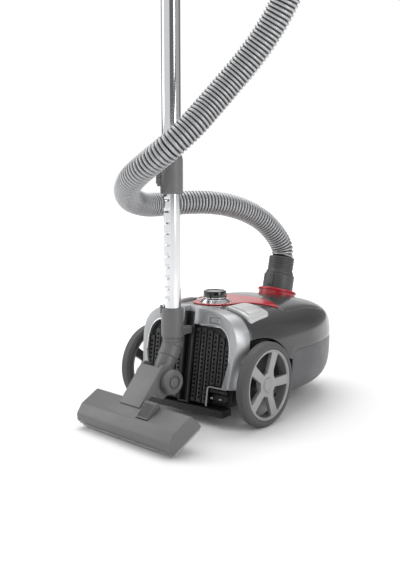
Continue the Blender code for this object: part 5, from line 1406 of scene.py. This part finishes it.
# %% Handle
seat = out_high - 30 * MM
port = Vector(HOSE_ROUTE[-1]) * MM
heading = (port - Vector(HOSE_ROUTE[-2]) * MM).normalized()
grip_end = port + heading * 0.3 * MM
handle_route = [WAND + Vector((0, 0, seat)), WAND + Vector((0, 0, seat + 42 * MM)),
                WAND + Vector((4 * MM, 0, seat + 62 * MM)),
                WAND + Vector((17 * MM, 0, seat + 80 * MM)), WAND + Vector((37 * MM, 0, seat + 92 * MM)),
                grip_end + heading * 30 * MM, grip_end + heading * 1 * MM]
handle_line = evenly(smooth_route([p / MM for p in handle_route], 12), 90)
handle_radii = []
for i in range(len(handle_line)):
    t = i / (len(handle_line) - 1)
    swell = 1.2 * MM * math.sin(math.pi * min(1, max(0, (t - 0.45) / 0.4)))
    handle_radii.append(20 * MM + swell + (1 * MM if t < 0.2 else 0))
handle = swept_tube("handle_grip", handle_line, handle_radii, 80)
flare = lathed("hose_flare", [mm(0, 26), mm(24, 26, 2), mm(28, 20, 3), mm(28, 0, 1.5), (0, 0)],
               along(heading, grip_end), 1 * MM, 96, ring=False)
combined(handle, [flare], "UNION")
bore = lathed("tube_seat", [mm(0, 30.3), mm(17.9, 30.3), mm(17.9, -10), mm(0, -10)],
              Matrix.Translation(WAND + Vector((0, 0, seat))), 0, 96, ring=False)
combined(handle, [bore])
as_piece(handle, nozzle_abs, "wand_upper", ["wand_handle"])
print("handle", len(handle.data.polygons), "faces")

# %% [markdown]
# Underneath and inside, the CAD solids already have their right shapes. They get the finish
# of the real part: zinc-plated steel, textured black plastic, foam, paper or circuit board.

# %% Finishes for the CAD parts that stay
KEPT = {
    black_pp: ["lower_chassis", "bulkhead", "bag_holder", "lid_latch", "caster_fork"],
    tyre_rubber: ["caster_wheel"],
    chrome: ["axle_left", "axle_right"],
    zinc_steel: ["motor_housing", "fan_rotor", "reel_bracket"],
    bumper_abs: ["cord_reel"],
    cuff_pp: ["vent_slider"],
    board_green: ["circuit_board"],
    foam: ["motor_filter", "lid_seal"],
    paper: ["hepa_filter"],
}
for material, nodes in KEPT.items():
    for node in nodes:
        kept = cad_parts[node]
        kept.data.materials.clear()
        kept.data.materials.append(material)
print("kept", sum(len(n) for n in KEPT.values()), "CAD parts")

# %% [markdown]
# The bag is filled paper: it swells between its folds, with a pleat along each side. It shows
# only when the lid is open.

# %% Dust bag
bag_low, bag_high = (Vector(c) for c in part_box("dust_bag"))
bag_mid, bag_half = (bag_low + bag_high) / 2, (bag_high - bag_low) / 2
work = bmesh.new()
bmesh.ops.create_cube(work, size=2)
bmesh.ops.subdivide_edges(work, edges=work.edges, cuts=23, use_grid_fill=True)
for vertex in work.verts:
    x, y, z = vertex.co
    reach = max(abs(x), abs(y))
    swell = math.sqrt(max(0.0, 1 - 0.72 * reach ** 4))
    pleat = 0.07 * math.exp(-(z / 0.12) ** 2) * (1 if reach > 0.93 else 0)
    crease = 0.03 * math.sin(9 * x + 5 * y) * math.sin(7 * y - 3 * x)
    rounding = 1 - 0.12 * (x * y) ** 2 - pleat
    vertex.co = Vector((bag_mid.x + bag_half.x * x * rounding * 0.97,
                        bag_mid.y + bag_half.y * y * rounding * 0.97,
                        bag_mid.z + bag_half.z * z * (swell + crease) * 0.95))
bag_mesh = bpy.data.meshes.new("paper_bag")
work.to_mesh(bag_mesh)
work.free()
bag = as_piece(new_object("paper_bag", bag_mesh), paper, "canister", ["dust_bag"],
               math.radians(60))
print("bag", len(bag_mesh.polygons), "faces")

# %% [markdown]
# The studio is a pale floor under a large soft light, with a panel on either side that draws
# the long highlights down the bezel and the wheel. Chrome shows only what stands around it,
# so the white walls have grey screens between them, which give the tubes their dark streaks.
# The floor glows faintly far from the object, which hides its edge.

# %% Floor and light
floor_mesh = bpy.data.meshes.new("floor")
floor_mesh.from_pydata([(-9, -9, 0), (9, -9, 0), (9, 9, 0), (-9, 9, 0)], [], [(0, 1, 2, 3)])
floor = new_object("floor", floor_mesh)
floor_paint = moulded("pale_studio_floor", "#f2f2f2", "#f6f6f6", 0.75, 8.0, 0.02)
floor_tree = floor_paint.node_tree
away = add(floor_tree, "ShaderNodeVectorMath", {"operation": "LENGTH"}, i0=place(floor_tree))
far_glow = add(floor_tree, "ShaderNodeMapRange", Value=away.outputs["Value"], i1=0.6, i2=2.2, i3=0.0,
               i4=0.75)
floor_shader = floor_tree.nodes["Principled BSDF"]
floor_shader.inputs["Emission Color"].default_value = linear("#ffffff")
floor_tree.links.new(far_glow.outputs[0], floor_shader.inputs["Emission Strength"])
floor_mesh.materials.append(floor_paint)


def panel(name, at, towards, width, height, watts):
    light = bpy.data.objects.new(name, bpy.data.lights.new(name, "AREA"))
    light.data.shape = "RECTANGLE"
    light.data.size, light.data.size_y = width, height
    light.data.energy = watts
    light.location = at
    light.rotation_euler = (Vector(towards) - Vector(at)).to_track_quat("-Z", "Y").to_euler()
    bpy.context.scene.collection.objects.link(light)


panel("overhead", (-0.6, 0.5, 2.4), (0, 0, 0.2), 2.4, 2.0, 42)
panel("left_side", (-1.9, -1.0, 1.3), (0, 0, 0.3), 1.2, 1.6, 16)
panel("right_side", (1.9, -0.2, 1.0), (0, 0, 0.2), 0.7, 1.6, 14)
# Where each wall or screen begins, in degrees round the object from straight behind it as
# the camera sees it, and how light it is.
SCREENS = [(0, 1.0), (20, 0.25), (62, 1.0), (168, 0.2), (212, 0.6), (292, 0.25), (340, 1.0)]
world = bpy.data.worlds.new("studio")
world.use_nodes = True
bpy.context.scene.world = world
studio = world.node_tree
way = add(studio, "ShaderNodeSeparateXYZ", Vector=add(studio, "ShaderNodeTexCoord").outputs["Generated"])
round_it = add(studio, "ShaderNodeMath", {"operation": "ARCTAN2"}, i0=way.outputs[1], i1=way.outputs[0])
shifted = add(studio, "ShaderNodeMath", {"operation": "SUBTRACT"}, i0=round_it.outputs[0],
              i1=AZIMUTH + math.pi / 2)
turned = add(studio, "ShaderNodeMath", {"operation": "DIVIDE"}, i0=shifted.outputs[0], i1=math.tau)
share = add(studio, "ShaderNodeMath", {"operation": "FRACT"}, i0=turned.outputs[0])
walls = add(studio, "ShaderNodeValToRGB", Fac=share.outputs[0])
walls.color_ramp.interpolation = "LINEAR"
stops = []
SOFT_EDGE = 2
screen_ends = [begins for begins, _ in SCREENS[1:]] + [360]
for (begins, lightness), ends in zip(SCREENS, screen_ends):
    stops += [(begins + SOFT_EDGE, lightness), (ends - SOFT_EDGE, lightness)]
while len(walls.color_ramp.elements) < len(stops):
    walls.color_ramp.elements.new(0.5)
for element, (degrees, lightness) in zip(walls.color_ramp.elements, stops):
    element.position = degrees / 360
    element.color = (lightness, lightness, lightness, 1)
height = add(studio, "ShaderNodeMapRange", Value=way.outputs[2], i1=0.35, i2=0.75, i3=0.0, i4=1.0)
ceiling = add(studio, "ShaderNodeMix", {"data_type": "RGBA"}, Factor=height.outputs[0],
              i6=walls.outputs[0], i7=linear("#c8c8c8"))
studio.links.new(ceiling.outputs[2], studio.nodes["Background"].inputs["Color"])
studio.nodes["Background"].inputs["Strength"].default_value = 1.0
print("lit by three panels")
